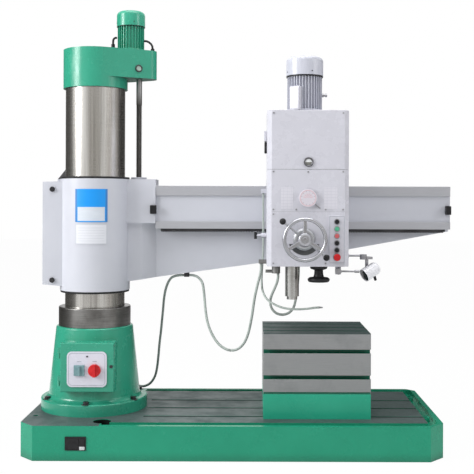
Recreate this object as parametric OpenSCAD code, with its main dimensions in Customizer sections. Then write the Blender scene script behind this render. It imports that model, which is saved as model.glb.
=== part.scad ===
// Radial arm drill: a column on a T-slotted base, a rising arm and a travelling drill head.
// Origin: column axis at floor level. X runs along the arm, the operator stands at -Y, Z is up.

/* [Base] */
// Length of the base along the arm
base_length = 2325; // [2250:5:2500]
// Depth of the base from front to back
base_depth = 1000; // [950:5:1150]
// Height of the base
base_height = 190; // [170:1:230]
// Column axis to the left end of the base
column_inset = 335; // [325:1:380]
// Thickness of the deck over the ribs
base_deck = 70; // [60:1:90]
// Thickness of the end walls
base_end_wall = 100; // [90:1:120]
// Thickness of the long walls
base_side_wall = 40; // [30:1:60]
// Thickness of the ribs under the deck
base_rib = 30; // [20:1:40]
// Front corner cut along X
base_corner_x = 85; // [60:1:110]
// Front corner cut along Y
base_corner_y = 90; // [60:1:130]
// Back corner cut
base_corner_back = 50; // [30:1:80]
// Width of the coolant gutter
gutter_w = 56; // [40:1:70]
// Depth of the coolant gutter
gutter_depth = 25; // [15:1:30]
// Rim left outside the gutter
gutter_rim = 28; // [20:1:40]
// Column axis to the left end of the back gutter
gutter_start = 260; // [230:1:300]
// Column axis to the start of the T-slots
slot_start = 322; // [318:1:380]
// T-slot mouth width
slot_mouth = 22; // [18:1:28]
// T-slot mouth depth
slot_mouth_depth = 20; // [16:1:22]
// T-slot head width
slot_head = 38; // [34:1:44]
// T-slot head height
slot_head_h = 16; // [14:1:18]
// Spacing of the base T-slots
slot_pitch = 210; // [200:1:230]
// Middle T-slot to the column axis, towards the front
slot_mid = 60; // [50:1:70]
// Radius of the anchor holes
anchor_r = 14; // [10:0.5:17]
// Column axis to the left anchors
anchor_left = 287; // [280:1:292]
// Right end of the base to the right anchors
anchor_right = 70; // [66:1:74]
// Radius of the bosses round the right anchors
anchor_boss_r = 24; // [22:0.5:26]
// Anchors to the column axis, front and back
anchor_y = 265; // [220:1:300]
// Radius of the sump hole
sump_r = 50; // [40:1:55]
// Width of the plate on the front face
front_plate_w = 115; // [90:1:140]
// Height of the plate on the front face
front_plate_h = 75; // [60:1:100]

/* [Pedestal] */
// Radius of the flange
flange_r = 311; // [305:1:320]
// Thickness of the flange
flange_t = 68; // [50:1:80]
// Radius of the cone at its foot
cone_foot_r = 262; // [255:1:266]
// Radius of the cone at its top
cone_top_r = 224; // [215:1:240]
// Height of the pedestal top over the floor
pedestal_top = 675; // [650:1:700]
// Wall of the cone
cone_wall = 32; // [25:1:40]
// Radius of the bolt circle
flange_bolt_ring = 287; // [285:1:290]
// Number of flange bolts
flange_bolts = 6; // [4:1:10]
// Radius of a flange bolt
flange_bolt_r = 10; // [8:0.5:11]
// Width of the switch box
box_w = 303; // [280:1:330]
// Height of the switch box
box_h = 277; // [250:1:300]
// Bottom of the switch box over the floor
box_bottom = 330; // [310:1:350]
// Column axis to the front of the switch door
box_reach = 300; // [290:1:320]
// Sheet thickness of the switch box
box_wall = 8; // [6:0.5:10]
// Thickness of the switch door
door_t = 14; // [10:1:20]
// Width of the switch plate
plate_w = 224; // [200:1:250]
// Height of the switch plate
plate_h = 199; // [180:1:220]
// Radius of the isolator knob
isolator_r = 35; // [30:1:40]
// Side of the pump switch
pump_switch_w = 59; // [50:1:64]

/* [Column] */
// Radius of the outer column
column_r = 175; // [172:1:178]
// Bore radius of the outer column
column_bore_r = 145; // [140:1:150]
// Radius of the inner column
inner_r = 115; // [110:1:120]
// Wall of the inner column
inner_wall = 25; // [20:1:30]
// Top of the inner column over the floor
inner_top = 2000; // [1980:1:2040]
// Height of a column bearing
bearing_h = 40; // [30:1:50]
// Radius of the clamp ring
ring_r = 211; // [205:1:216]
// Height of the clamp ring
ring_h = 112; // [100:1:118]
// Bevel on the clamp ring
ring_bevel = 8; // [4:1:12]
// Width of the guide key
key_w = 36; // [30:1:44]
// Height of the guide key over the column
key_rise = 10; // [6:1:14]
// Depth of the guide key in the column
key_sink = 8; // [6:1:10]
// Radius of the column cap
cap_r = 189; // [186:1:198]
// Bottom of the column cap over the floor
cap_bottom = 2070; // [2060:1:2100]
// Height of the column cap
cap_h = 228; // [215:1:240]
// Height of the cap arm that holds the gears
cap_arm_h = 167; // [155:1:180]
// Half width of the end of the cap arm
cap_end_r = 55; // [52:1:62]
// Column axis to the centre of the cap arm's end
cap_end_x = 308; // [304:1:320]
// Thickness of the cap walls
cap_wall = 14; // [10:1:18]

/* [Lift drive] */
// Column axis to the lead screw
screw_x = 259; // [257:1:262]
// Radius of the lead screw
screw_r = 17; // [15:0.5:20]
// Bottom of the lead screw over the floor
screw_bottom = 1385; // [1375:1:1390]
// Module of the lift gears
lift_module = 2.5; // [2.4:0.1:2.6]
// Teeth of the lift pinion
lift_pinion_teeth = 14; // [13:1:15]
// Teeth of the screw gear
screw_gear_teeth = 26; // [25:1:27]
// Width of the lift gears
lift_gear_w = 30; // [20:1:40]
// Radius of the lift motor body over its ribs
lift_motor_r = 79; // [74:1:82]
// Height of the lift motor body
lift_motor_h = 153; // [140:1:170]
// Radius of the lift fan cover
lift_cover_r = 84; // [83:1:90]
// Height of the lift fan cover
lift_cover_h = 82; // [76:1:100]
// Radius of the lift rotor shaft
lift_shaft_r = 14; // [11:0.5:15]
// Thickness of the motor leads
lead_d = 13; // [10:0.5:16]

/* [Arm] */
// Radius of the sleeve
sleeve_r = 205; // [200:1:215]
// Bottom of the sleeve over the floor
sleeve_bottom = 883; // [875:1:890]
// Height of the sleeve
sleeve_h = 654; // [640:1:660]
// Column axis to the outer edge of the clamp ear
ear_reach = 289; // [270:1:300]
// Half depth of the clamp ear
ear_half = 110; // [90:1:120]
// Split in the sleeve
split_w = 8; // [5:1:12]
// Column axis to the right face of the screw boss
boss_end = 365; // [355:1:370]
// Half depth of the screw boss
boss_half = 110; // [100:1:120]
// Height of the screw boss
boss_h = 259; // [250:1:270]
// Column axis to the end of the arm
arm_end = 2103; // [2080:1:2130]
// Back of the arm beam behind the column axis
beam_back = 110; // [100:1:130]
// Front of the guide rails before the column axis
rail_front = 60; // [55:1:65]
// Thickness of the guide rails
rail_t = 40; // [35:1:44]
// Top of the upper rail over the floor
rail_top = 1499; // [1490:1:1510]
// Height of the upper rail
upper_rail_h = 58; // [50:1:66]
// Bottom of the lower rail over the floor
rail_bottom = 1246; // [1240:1:1250]
// Height of the lower rail
lower_rail_h = 44; // [40:1:50]
// Underside of the beam near the sleeve over the floor
beam_low = 937; // [925:1:950]
// Underside of the beam at its end over the floor
beam_tip = 1233; // [1225:1:1240]
// Height of a wiper ring
wiper_h = 12; // [8:1:14]
// Length of an end stop
stop_length = 20; // [15:1:30]

/* [Head] */
// Column axis to the left side of the head
head_left = 1017; // [1000:1:1030]
// Width of the head
head_w = 453; // [440:1:470]
// Bottom of the head over the floor
head_bottom = 1048; // [1040:1:1055]
// Height of the head
head_h = 865; // [850:1:880]
// Front of the head before the column axis
head_front = 400; // [390:1:415]
// Wall of the head casting
head_wall = 18; // [14:1:24]
// Depth of the front covers
cover_depth = 40; // [35:1:50]
// Wall of the front covers
cover_wall = 10; // [8:1:12]
// Cut on the upright edges of the covers
cover_corner = 24; // [15:1:30]
// Seam under the upper cover over the floor
upper_seam = 1584; // [1575:1:1595]
// Seam under the dial panel over the floor
lower_seam = 1351; // [1345:1:1360]
// Left side of the head to the spindle axis
spindle_in = 146; // [140:1:150]
// Spindle axis before the column axis
spindle_front = 240; // [235:1:245]
// Radius of the quill
quill_r = 39.5; // [38:0.5:41]
// Bottom of the quill over the floor
quill_bottom = 870; // [860:1:880]
// Length of the quill
quill_length = 640; // [620:1:660]
// Radius of the spindle in the quill
spindle_r = 30; // [28:0.5:31]
// Length of the spindle nose under the quill
nose_h = 18; // [14:1:22]
// Radius of the spindle above the quill
spline_r = 20; // [16:1:22]
// Mouth radius of the tool socket
socket_r = 22.2; // [18:0.1:23]
// Depth of the tool socket
socket_depth = 130; // [100:1:150]
// Radius lost over the depth of the tool socket
socket_taper = 3.4; // [2:0.1:4]
// Radius of the main motor body over its ribs
motor_r = 99; // [94:1:103]
// Height of the main motor body
motor_h = 214; // [200:1:230]
// Radius of the main fan cover
fan_cover_r = 105; // [104:1:112]
// Height of the main fan cover
fan_cover_h = 99; // [90:1:110]
// Left side of the head to the motor axis
motor_in = 214; // [205:1:225]

/* [Controls] */
// Left side of the head to the handwheel axis
wheel_in = 205; // [203:1:206]
// Handwheel axis over the floor
wheel_z = 1199; // [1192:1:1202]
// Module of the rack gears
rack_module = 3; // [2.8:0.1:3.1]
// Teeth of the traverse pinion
traverse_teeth = 20; // [19:1:21]
// Teeth of the feed pinion
feed_teeth = 16; // [16:1:17]
// Outer radius of the handwheel
wheel_r = 122; // [115:1:130]
// Thickness of the handwheel rim
rim_d = 16; // [12:1:20]
// Radius of the handwheel hub
hub_r = 42; // [36:1:46]
// Radius of the traverse shaft
traverse_shaft_r = 12; // [10:0.5:13]
// Outer radius of the feed shaft
feed_shaft_r = 18; // [16:0.5:19]
// Reach of the feed handles
handle_reach = 155; // [145:1:165]
// Radius of a feed handle ball
ball_r = 17.5; // [15:0.5:20]
// Radius of a button
button_r = 12; // [10:0.5:14]
// Travel of a button
button_travel = 4; // [3:0.5:5]
// Height of a button over its panel
button_rise = 12; // [10:0.5:16]
// Spacing of the buttons
button_pitch = 39; // [36:1:40]
// Radius of the stop button
stop_button_r = 19; // [17:0.5:19]
// Radius of the speed dial
dial_r = 50; // [44:1:56]
// Radius of the fine feed knob
fine_r = 62; // [55:1:70]

/* [Lamp and coolant] */
// Radius of the lamp body
lamp_r = 38; // [34:1:42]
// Length of the lamp body
lamp_length = 105; // [95:1:115]
// Downward tilt of the lamp in degrees
lamp_tilt = 28; // [20:1:35]
// Thickness of the supply hoses
hose_d = 15; // [12:0.5:17]
// Thickness of the nozzle hose
nozzle_hose_d = 12; // [10:0.5:14]
// Radius of the coolant pump
pump_r = 62; // [55:1:68]
// Height of the coolant pump
pump_h = 250; // [220:1:280]

/* [Box table] */
// Width of the box table
table_w = 602; // [580:1:640]
// Depth of the box table
table_d = 524; // [500:1:540]
// Height of the box table
table_h = 479; // [470:1:482]
// Column axis to the left side of the box table
table_left = 1000; // [980:1:1010]
// Front of the box table before the column axis
table_front = 331; // [325:1:340]
// Wall of the box table
table_wall = 55; // [50:1:65]
// Height of the painted foot
table_foot_h = 140; // [120:1:150]
// Spacing of the table T-slots
table_slot_pitch = 145; // [130:1:155]
// Radius of a table bolt
table_bolt_r = 9; // [7:0.5:10]

/* [Hidden] */
$fn = 96;
// overrun of every cut past the face it opens
over = 1;
// running clearance between bodies, running fit and seat clearance
run_gap = 0.3;
fit_gap = 0.05;
seat_gap = 0.1;
base_x0 = -column_inset;
base_x1 = base_length - column_inset;
base_half = base_depth / 2;
planed_end = base_x1 - gutter_rim - gutter_w;
planed_half = base_half - gutter_rim - gutter_w;
rib_cols = 9;
rib_rows = 4;
slot_depth = slot_mouth_depth + slot_head_h;
slot_end = max(planed_end + over, table_left + table_w);
sump_x = 110;
sump_in = 108;
sump_y = -base_half + sump_in;
front_plate_x = -16;
front_plate_z = base_height / 2;
front_plate_t = 5;
bolt_head_h = 16;
bolt_head_r = 17;
bolt_grip = 40;
foot_r = 180;
foot_t = 30;
door_front = -box_reach;
box_shift = 8;
box_x0 = -box_w / 2 + box_shift;
box_mid_x = box_x0 + box_w / 2;
plate_t = 6;
box_back_share = 0.6;
isolator_grip_share = 0.4;
switch_grip_share = 0.2;
switch_grip_h_share = 0.8;
knob_depth = 26;
switch_depth = 20;
switch_stem_r = 9;
isolator_offset = 44;
pump_switch_offset = 42;
switch_height = 124;
isolator_x = box_mid_x + isolator_offset;
pump_switch_x = box_mid_x - pump_switch_offset;
switch_z = box_bottom + switch_height;
pin_r = 5;
hinge_r = 9;
hinge_h = 60;
column_foot = pedestal_top + run_gap;
column_top = cap_bottom + cap_h - 4 * cap_wall;
bearing_low = column_foot + ring_h;
bearing_high = inner_top - 2 * bearing_h;
cap_top = cap_bottom + cap_h;
cap_arm_bottom = cap_top - cap_arm_h;
lift_pinion_r = lift_module * lift_pinion_teeth / 2;
screw_gear_r = lift_module * screw_gear_teeth / 2;
motor_x = screw_x - lift_pinion_r - screw_gear_r;
gear_z = cap_arm_bottom + 3 * cap_wall;
gear_room = 6;
fin_foot_share = 0.88;
fin_root_share = 0.98;
fin_w_share = 0.05;
band_share = 0.08;
dome_share = 0.25;
fan_r_share = 0.55;
fan_h_share = 0.12;
sheet_t = 3;
lift_fins = 28;
motor_fins = 36;
arm_top = sleeve_bottom + sleeve_h;
beam_front = rail_front - rail_t;
ledge_h = 24;
fascia_sink = 10;
boss_bottom = arm_top - boss_h;
boss_cut = 80;
boss_cut_in = 14;
beam_start = 227;
beam_mid_x = 1300;
beam_mid = 1086;
beam_slope = atan((beam_mid - beam_low) / (beam_mid_x - beam_start));
boss_front = 66;
web_front = 50;
web_run = 80;
stop_back = 30;
stop_tip = 7;
stop_out = 28;
nut_r = 38;
nut_h = 97;
nut_flange_r = 46;
ear_cut = 36;
ear_bolt_in = 57;
ear_bolt_drop = 62;
ear_bolt_r = 10;
ear_head_r = 15;
gusset_w = 56;
gusset_h = 70;
gusset_y = 70;
gusset_t = 30;
sign_t = 2;
sign_angle = 53;
sign_h = 190;
info_h = 118;
sign_drop = 61;
sign_top = arm_top - sign_drop;
sign_place_angle = 273;
plate_space = 11;
wheel_x = head_left + wheel_in;
spindle_x = head_left + spindle_in;
traverse_r = rack_module * traverse_teeth / 2;
feed_r = rack_module * feed_teeth / 2;
backlash = 0.4;
dedendum_share = 1.25;
pressure_angle = 20;
root_share = 1.3;
tip_share = 0.46;
rack_w = 30;
rack_inset = 5;
head_right = head_left + head_w;
head_top = head_bottom + head_h;
head_back = rail_front + run_gap;
back_wall = 40;
cover_back = -head_front + cover_depth;
shelf_up = 287;
shelf_z = head_bottom + shelf_up;
shelf_t = 24;
wheel_out = 80;
wheel_y = -head_front - wheel_out;
handle_out = 45;
handle_y = -head_front - handle_out;
hub_t = 28;
hub_out = 32;
hub_back = -head_front - hub_out;
rod_r = 6;
handle_angle = 140.5;
spoke_w = 18;
spoke_t = 10;
panel_w = 88;
panel_t = 8;
panel_x = head_right - cover_corner - panel_w / 2;
panel_up = 20;
panel_bottom = head_bottom + panel_up;
panel_h = 262;
button_up_z = 228;
button_z = panel_bottom + button_up_z;
button_hold = 30;
stop_cap_t = 12;
stop_up = 33;
stop_z = panel_bottom + stop_up;
dial_in = 225;
dial_x = head_left + dial_in;
dial_up = 75;
dial_z = lower_seam + dial_up;
dial_t = 16;
dial_stem_r = 8;
glass_in = 228;
glass_x = head_left + glass_in;
glass_up = 41;
glass_z = upper_seam + glass_up;
glass_r = 27;
glass_t = 8;
terminal_angle = -122;
terminal_d_share = 0.4;
terminal_w_share = 0.32;
terminal_in_share = 0.8;
terminal_low_share = 0.03;
terminal_h_share = 0.62;
rack_reach_share = 0.33;
spindle_drop = 180;
hub_cap_share = 0.9;
fine_in = 291;
fine_x = head_left + fine_in;
fine_back = 70;
fine_y = -head_front + fine_back;
fine_drop = 90;
fine_z = head_bottom - fine_drop;
fine_h = 26;
fine_stem_r = 14;
stem_hold = 20;
lever_in = 55;
lever_x = head_right - lever_in;
lever_drop = 28;
lever_z = head_bottom - lever_drop;
lever_back = 50;
lever_y = -head_front + lever_back;
lever_r = 18;
lever_t = 20;
lever_reach = 90;
lever_rod_r = 5;
lever_tip = 26;
lever_tip_r = 8;
lug_w = 30;
clamp_up = 165;
clamp_z = head_bottom + clamp_up;
clamp_back = 200;
clamp_y = -head_front + clamp_back;
clamp_reach = 62;
clamp_rod_r = 7;
clamp_bar = 44;
clamp_bar_r = 8;
clamp_hold = 14;
lamp_up = 58;
lamp_z = head_bottom + lamp_up;
lamp_back = 70;
lamp_y = -head_front + lamp_back;
lamp_out = 68;
lamp_bar_r = 6;
lamp_joint_r = 19;
lamp_joint_t = 14;
lamp_pivot_x = head_right + lamp_out + lamp_joint_r;
lamp_arm_reach = 49;
lamp_centre_x = lamp_pivot_x + lamp_arm_reach;
lamp_drop = 88;
lamp_centre_z = lamp_z - lamp_drop;
lamp_swing_angle = 25;
lamp_wall = 4;
lens_t = 5;
valve_in = 55;
valve_x = head_left + valve_in;
valve_back = 175;
valve_y = -head_front + valve_back;
valve_r = 24;
valve_h = 50;
tap_r = 9;
tap_reach = 60;
tap_drop = 38;
tap_z = head_bottom - tap_drop;
inlet_w = 28;
inlet_h = 24;
pump_x = 60;
pump_foot_share = 1.2;
pump_space = 24.6;
pump_y = flange_r + pump_space + pump_r * pump_foot_share;
outlet_up = 45;
outlet_z = base_height + outlet_up;
outlet_reach = 78;
table_mid_y = -table_front + table_d / 2;
table_top = base_height + table_h;
table_flange = 70;
table_flange_t = 25;
table_groove = 6;
nut_af_r = 16;
t_head_r = 16;
table_slot_low_share = 0.65;
clip_x = 545;
clip_rise = 40;
clip_drop = 10;
clip_y = 20;
clip_w = 30;
clip_t = 20;
clip_wall = 4;
cable_sides = 10;
gland_r = 11;
// a direction that no route runs along
aside_shares = [0.31, 0.92, 0.23];
// routes of the hoses and leads, as points in space
hose_low_route = [
  [138, 410, 235], [160, 410, 235], [195, 396, 232], [228, 370, 230], [262, 340, 238], [298, 318, 262],
  [326, 304, 306], [340, 292, 360], [349, 281, 430], [358, 268, 520], [368, 257, 600], [376, 240, 670]
];
hose_high_route = [
  [376, 240, 670], [384, 223, 740], [391, 199, 800], [401, 170, 850], [414, 136, 890], [430, 98, 922],
  [449, 58, 946], [467, 36, 957], [488, 24, 963], [510, 20, 966], [530, 20, 966]
];
hose_loop_route = [
  [560, 20, 966], [576, 20, 966], [604, 17, 959], [628, 9, 940], [642, -2, 914], [650, -18, 868],
  [656, -40, 818], [664, -66, 755], [678, -88, 690], [704, -106, 630], [744, -122, 575], [796, -140, 546],
  [848, -154, 550], [888, -166, 586], [914, -177, 645], [934, -190, 740], [950, -200, 850], [967, -207, 930],
  [981, -211, 985], [987, -212, 1020], [987, -212, 1052]
];
nozzle_route = [
  [1000, -128, 1456], [1000, -128, 1420], [1000, -128, 1360], [1000, -128, 1290], [1000, -128, 1220],
  [1000, -129, 1150], [998, -133, 1080], [993, -146, 1010], [991, -170, 945], [998, -202, 890],
  [1022, -238, 850], [1060, -268, 826], [1104, -288, 810], [1150, -300, 803], [1204, -305, 802],
  [1256, -304, 806], [1284, -303, 810], [1310, -302, 812]
];
loop_route = [
  [1084, -225, 998], [1084, -225, 976], [1078, -221, 944], [1063, -214, 906], [1047, -208, 868],
  [1040, -202, 828], [1050, -196, 792], [1076, -188, 765], [1112, -180, 756], [1148, -172, 765],
  [1174, -165, 792], [1186, -160, 830], [1196, -155, 890], [1203, -151, 960], [1205, -150, 1005],
  [1205, -150, 1034]
];
supply_end = hose_loop_route[len(hose_loop_route) - 1];
drain_end = loop_route[len(loop_route) - 1];
lead_right_route = [
  [289, -10, 2360], [303, -11, 2359], [317, -12, 2353], [329, -13, 2343], [337, -14, 2330],
    [340, -14, 2312]
];
lead_left_route = [
  [129, -20, 2376], [120, -21, 2377], [112, -22, 2372], [107, -23, 2363], [106, -23, 2351],
    [106, -23, 2338]
];

// a unit vector, the way a route runs at a point, and a direction square to it
function unit(v) = v / norm(v);
function ahead(p, i) = unit(p[min(i + 1, len(p) - 1)] - p[max(i - 1, 0)]);
function side(p, i) = unit(cross(ahead(p, i), aside_shares));
// rings of points square to the route, joined into one closed tube
module tube(p, d) {
  n = cable_sides;
  m = len(p);
  points = [for (i = [0 : m - 1], k = [0 : n - 1])
    let (t = ahead(p, i), u = side(p, i), v = cross(t, u))
    p[i] + d / 2 * (cos(360 * k / n) * u + sin(360 * k / n) * v)];
  walls = [for (i = [0 : m - 2], k = [0 : n - 1], half = [0, 1])
    let (a = i * n + k, b = i * n + (k + 1) % n)
    half == 0 ? [a, a + n, b] : [b, a + n, b + n]];
  last = (m - 1) * n;
  ends = [for (k = [1 : n - 2], far = [0, 1]) far == 0 ? [0, k, k + 1] : [last, last + k + 1, last + k]];
  polyhedron(points, concat(walls, ends));
}

// a bar between two corners
module block(a, b) {
  translate(a) cube(b - a);
}

// a cylinder along Y that starts at a point and runs towards the back
module rod_y(p, r, length) {
  translate(p) rotate([-90, 0, 0]) cylinder(r = r, h = length);
}

// a cylinder along X that starts at a point
module rod_x(p, r, length) {
  translate(p) rotate([0, 90, 0]) cylinder(r = r, h = length);
}

// outline of a spur gear with straight-sided teeth, a gap centred on the X axis
module gear_outline(m, teeth) {
  r = m * teeth / 2;
  step = 360 / teeth;
  thick = step / 2 - backlash / r * 180 / PI / 2;
  polygon([for (i = [0 : teeth - 1], c = [
      [r - dedendum_share * m, -root_share], [r, -1], [r + m, -tip_share], [r + m, tip_share], [r, 1],
      [r - dedendum_share * m, root_share]])
    let (a = (i + 0.5) * step + c[1] * thick / 2)
    c[0] * [cos(a), sin(a)]]);
}

// outline of a rack along X with its teeth pointing down and a tooth centred on X = 0
module rack_outline(m, x0, x1, top) {
  p = PI * m;
  first = ceil(x0 / p + 0.5);
  last = floor(x1 / p - 0.5);
  flat = p / 4 - backlash / 2;
  lean = tan(pressure_angle) * m;
  polygon(concat([[x0, top], [x0, dedendum_share * m]],
    [for (i = [first : last], c = [
        [-flat - dedendum_share * lean, dedendum_share * m], [-flat + lean, -m], [flat - lean, -m],
        [flat + dedendum_share * lean, dedendum_share * m]])
      [i * p + c[0], c[1]]],
    [[x1, dedendum_share * m], [x1, top]]));
}

// a T-slot along X, cut down from a top face
module t_slot(x0, x1, y, top) {
  block([x0, y - slot_mouth / 2, top - slot_mouth_depth - over], [x1, y + slot_mouth / 2, top + over]);
  block([x0, y - slot_head / 2, top - slot_depth], [x1, y + slot_head / 2, top - slot_mouth_depth]);
}

module base_outline() {
  polygon([
    [base_x0 + base_corner_x, -base_half], [base_x1 - base_corner_x, -base_half],
    [base_x1, -base_half + base_corner_y], [base_x1, base_half - base_corner_back],
    [base_x1 - base_corner_back, base_half], [base_x0 + base_corner_back, base_half],
    [base_x0, base_half - base_corner_back], [base_x0, -base_half + base_corner_y]
  ]);
}

// coolant gutter seen from above, from the sump round the right end, past the anchor bosses
module gutter_outline() {
  difference() {
    polygon([
      [sump_x, -base_half + gutter_rim], [base_x1 - base_corner_x, -base_half + gutter_rim],
      [base_x1 - gutter_rim, -base_half + base_corner_y],
      [base_x1 - gutter_rim, base_half - base_corner_back],
      [base_x1 - base_corner_back, base_half - gutter_rim], [gutter_start, base_half - gutter_rim]
    ]);
    translate([0, -planed_half]) square([planed_end, 2 * planed_half]);
    for (y = [-anchor_y, anchor_y]) translate([base_x1 - anchor_right, y]) circle(r = anchor_boss_r);
  }
}

module base_casting() {
  pitch_x = (base_length - 2 * base_end_wall + base_rib) / rib_cols;
  pitch_y = (base_depth - 2 * base_side_wall + base_rib) / rib_rows;
  color("seagreen") difference() {
    linear_extrude(base_height) base_outline();
    for (i = [0 : rib_cols - 1], j = [0 : rib_rows - 1])
      translate([base_x0 + base_end_wall + i * pitch_x, -base_half + base_side_wall + j * pitch_y, -over])
        cube([pitch_x - base_rib, pitch_y - base_rib, base_height - base_deck + over]);
    translate([0, 0, base_height - gutter_depth]) linear_extrude(gutter_depth + over) gutter_outline();
    for (i = [-1 : 1]) t_slot(slot_start, slot_end, -slot_mid + i * slot_pitch, base_height);
    for (x = [-anchor_left, base_x1 - anchor_right], y = [-anchor_y, anchor_y])
      translate([x, y, -over]) cylinder(r = anchor_r, h = base_height + 2 * over);
    translate([sump_x, sump_y, 0]) cylinder(r = sump_r, h = base_height + over);
    flange_pattern() cylinder(r = flange_bolt_r + seat_gap, h = 2 * bolt_grip, center = true);
    translate([pump_x, pump_y, base_height - base_deck - over])
      cylinder(r = pump_r / 2, h = base_deck + 2 * over);
  }
}

// places of the flange bolts on the deck
module flange_pattern() {
  for (i = [0 : flange_bolts - 1])
    rotate(i * 360 / flange_bolts - 90) translate([flange_bolt_ring, 0, base_height]) children();
}

module front_plate() {
  color("black")
    translate([front_plate_x - front_plate_w / 2, -base_half - front_plate_t,
      front_plate_z - front_plate_h / 2])
      cube([front_plate_w, front_plate_t, front_plate_h]);
}

// cone of the pedestal, grown by a clearance
module pedestal_cone(grow) {
  cone_h = pedestal_top - base_height - flange_t;
  translate([0, 0, base_height + flange_t])
    cylinder(r1 = cone_foot_r + grow, r2 = cone_top_r + grow, h = cone_h);
}

module pedestal() {
  cone_h = pedestal_top - base_height - flange_t;
  color("seagreen") difference() {
    union() {
      translate([0, 0, base_height]) cylinder(r = flange_r, h = flange_t);
      pedestal_cone(0);
    }
    translate([0, 0, base_height - over]) cylinder(r = cone_foot_r - cone_wall, h = flange_t + 2 * over);
    translate([0, 0, base_height + flange_t])
      cylinder(r1 = cone_foot_r - cone_wall, r2 = cone_top_r - cone_wall, h = cone_h - cone_wall);
    cylinder(r = inner_r + seat_gap, h = pedestal_top + over);
    flange_pattern() cylinder(r = flange_bolt_r + seat_gap, h = flange_t + over);
  }
}

module pedestal_bolts() {
  color("dimgray") flange_pattern() {
    translate([0, 0, flange_t]) cylinder(r = bolt_head_r, h = bolt_head_h, $fn = 6);
    translate([0, 0, -bolt_grip / 2]) cylinder(r = flange_bolt_r, h = flange_t + bolt_grip / 2);
  }
}

module inner_column() {
  color("gray") difference() {
    union() {
      translate([0, 0, base_height]) cylinder(r = inner_r, h = inner_top - base_height);
      translate([0, 0, base_height]) cylinder(r = foot_r, h = foot_t);
    }
    translate([0, 0, base_height - over]) cylinder(r = inner_r - inner_wall, h = inner_top + over);
  }
}

module column_bearings() {
  color("silver") for (z = [bearing_low, bearing_high]) translate([0, 0, z]) difference() {
    cylinder(r = column_bore_r - fit_gap, h = bearing_h);
    translate([0, 0, -over]) cylinder(r = inner_r + seat_gap, h = bearing_h + 2 * over);
  }
}

module box_table() {
  x0 = table_left;
  x1 = table_left + table_w;
  y0 = -table_front;
  y1 = y0 + table_d;
  z0 = base_height;
  color("silver") difference() {
    block([x0, y0, z0], [x1, y1, table_top]);
    block([x0 + table_wall, y0 + table_wall, z0 + table_flange_t],
      [x1 - table_wall, y1 - table_wall, table_top - table_wall]);
    block([x0 + table_wall + table_flange, y0 + table_wall, z0 - over],
      [x1 - table_wall - table_flange, y1 - table_wall, table_top - table_wall]);
    for (i = [-1 : 1]) t_slot(x0 - over, x1 + over, table_mid_y + i * table_slot_pitch, table_top);
    for (i = [0, 1], back = [0, 1])
      translate([0, back == 1 ? y1 : y0, table_foot_h + z0 + table_slot_pitch * (i + table_slot_low_share)])
        rotate([back == 1 ? -90 : 90, 0, 0]) t_slot(x0 - over, x1 + over, 0, 0);
    block([x0 - over, y0 - over, z0 + table_foot_h],
      [x1 + over, y0 + table_groove, z0 + table_foot_h + 2 * table_groove]);
    table_bolt_places() cylinder(r = table_bolt_r + seat_gap, h = table_flange_t + over);
  }
}

// places of the T-bolts inside the box table
module table_bolt_places() {
  in = table_wall + table_flange / 2;
  for (x = [table_left + in, table_left + table_w - in]) translate([x, -slot_mid, base_height])
    children();
}

module table_bolts() {
  head_t = slot_head_h - 2 * seat_gap;
  color("dimgray") table_bolt_places() {
    translate([0, 0, -slot_mouth_depth - head_t]) cylinder(r = t_head_r, h = head_t, $fn = 4);
    translate([0, 0, -slot_mouth_depth])
      cylinder(r = table_bolt_r, h = slot_mouth_depth + table_flange_t + 2 * bolt_head_h);
    translate([0, 0, table_flange_t]) difference() {
      cylinder(r = nut_af_r, h = bolt_head_h, $fn = 6);
      translate([0, 0, -over]) cylinder(r = table_bolt_r + seat_gap, h = bolt_head_h + 2 * over);
    }
  }
}

module coolant_pump() {
  color("slategray") {
    translate([pump_x, pump_y, base_height]) cylinder(r = pump_r * pump_foot_share, h = foot_t / 2);
    translate([pump_x, pump_y, base_height + foot_t / 2]) cylinder(r = pump_r, h = pump_h - foot_t / 2);
    translate([pump_x, pump_y, base_height - base_deck])
      cylinder(r = pump_r / 2 - seat_gap, h = base_deck);
    rod_x([pump_x, pump_y, outlet_z], hose_d / 2 + clip_wall, outlet_reach);
  }
}

module switch_box() {
  color("seagreen") difference() {
    block([box_x0, door_front + door_t, box_bottom],
      [box_x0 + box_w, -cone_top_r * box_back_share, box_bottom + box_h]);
    block([box_x0 + box_wall, door_front + door_t - over, box_bottom + box_wall],
      [box_x0 + box_w - box_wall, 0, box_bottom + box_h - box_wall]);
    pedestal_cone(seat_gap);
  }
  color("dimgray") for (z = [box_bottom + hinge_h / 2, box_bottom + box_h - 3 * hinge_h / 2])
    hinge_half(z, hinge_h / 2);
}

// one knuckle of the switch door hinge with its pin
module hinge_half(z, h) {
  translate([box_x0 - hinge_r, door_front + door_t + hinge_r, z]) {
    cylinder(r = hinge_r - run_gap, h = h);
    cylinder(r = pin_r, h = 2 * h);
  }
}

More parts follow.
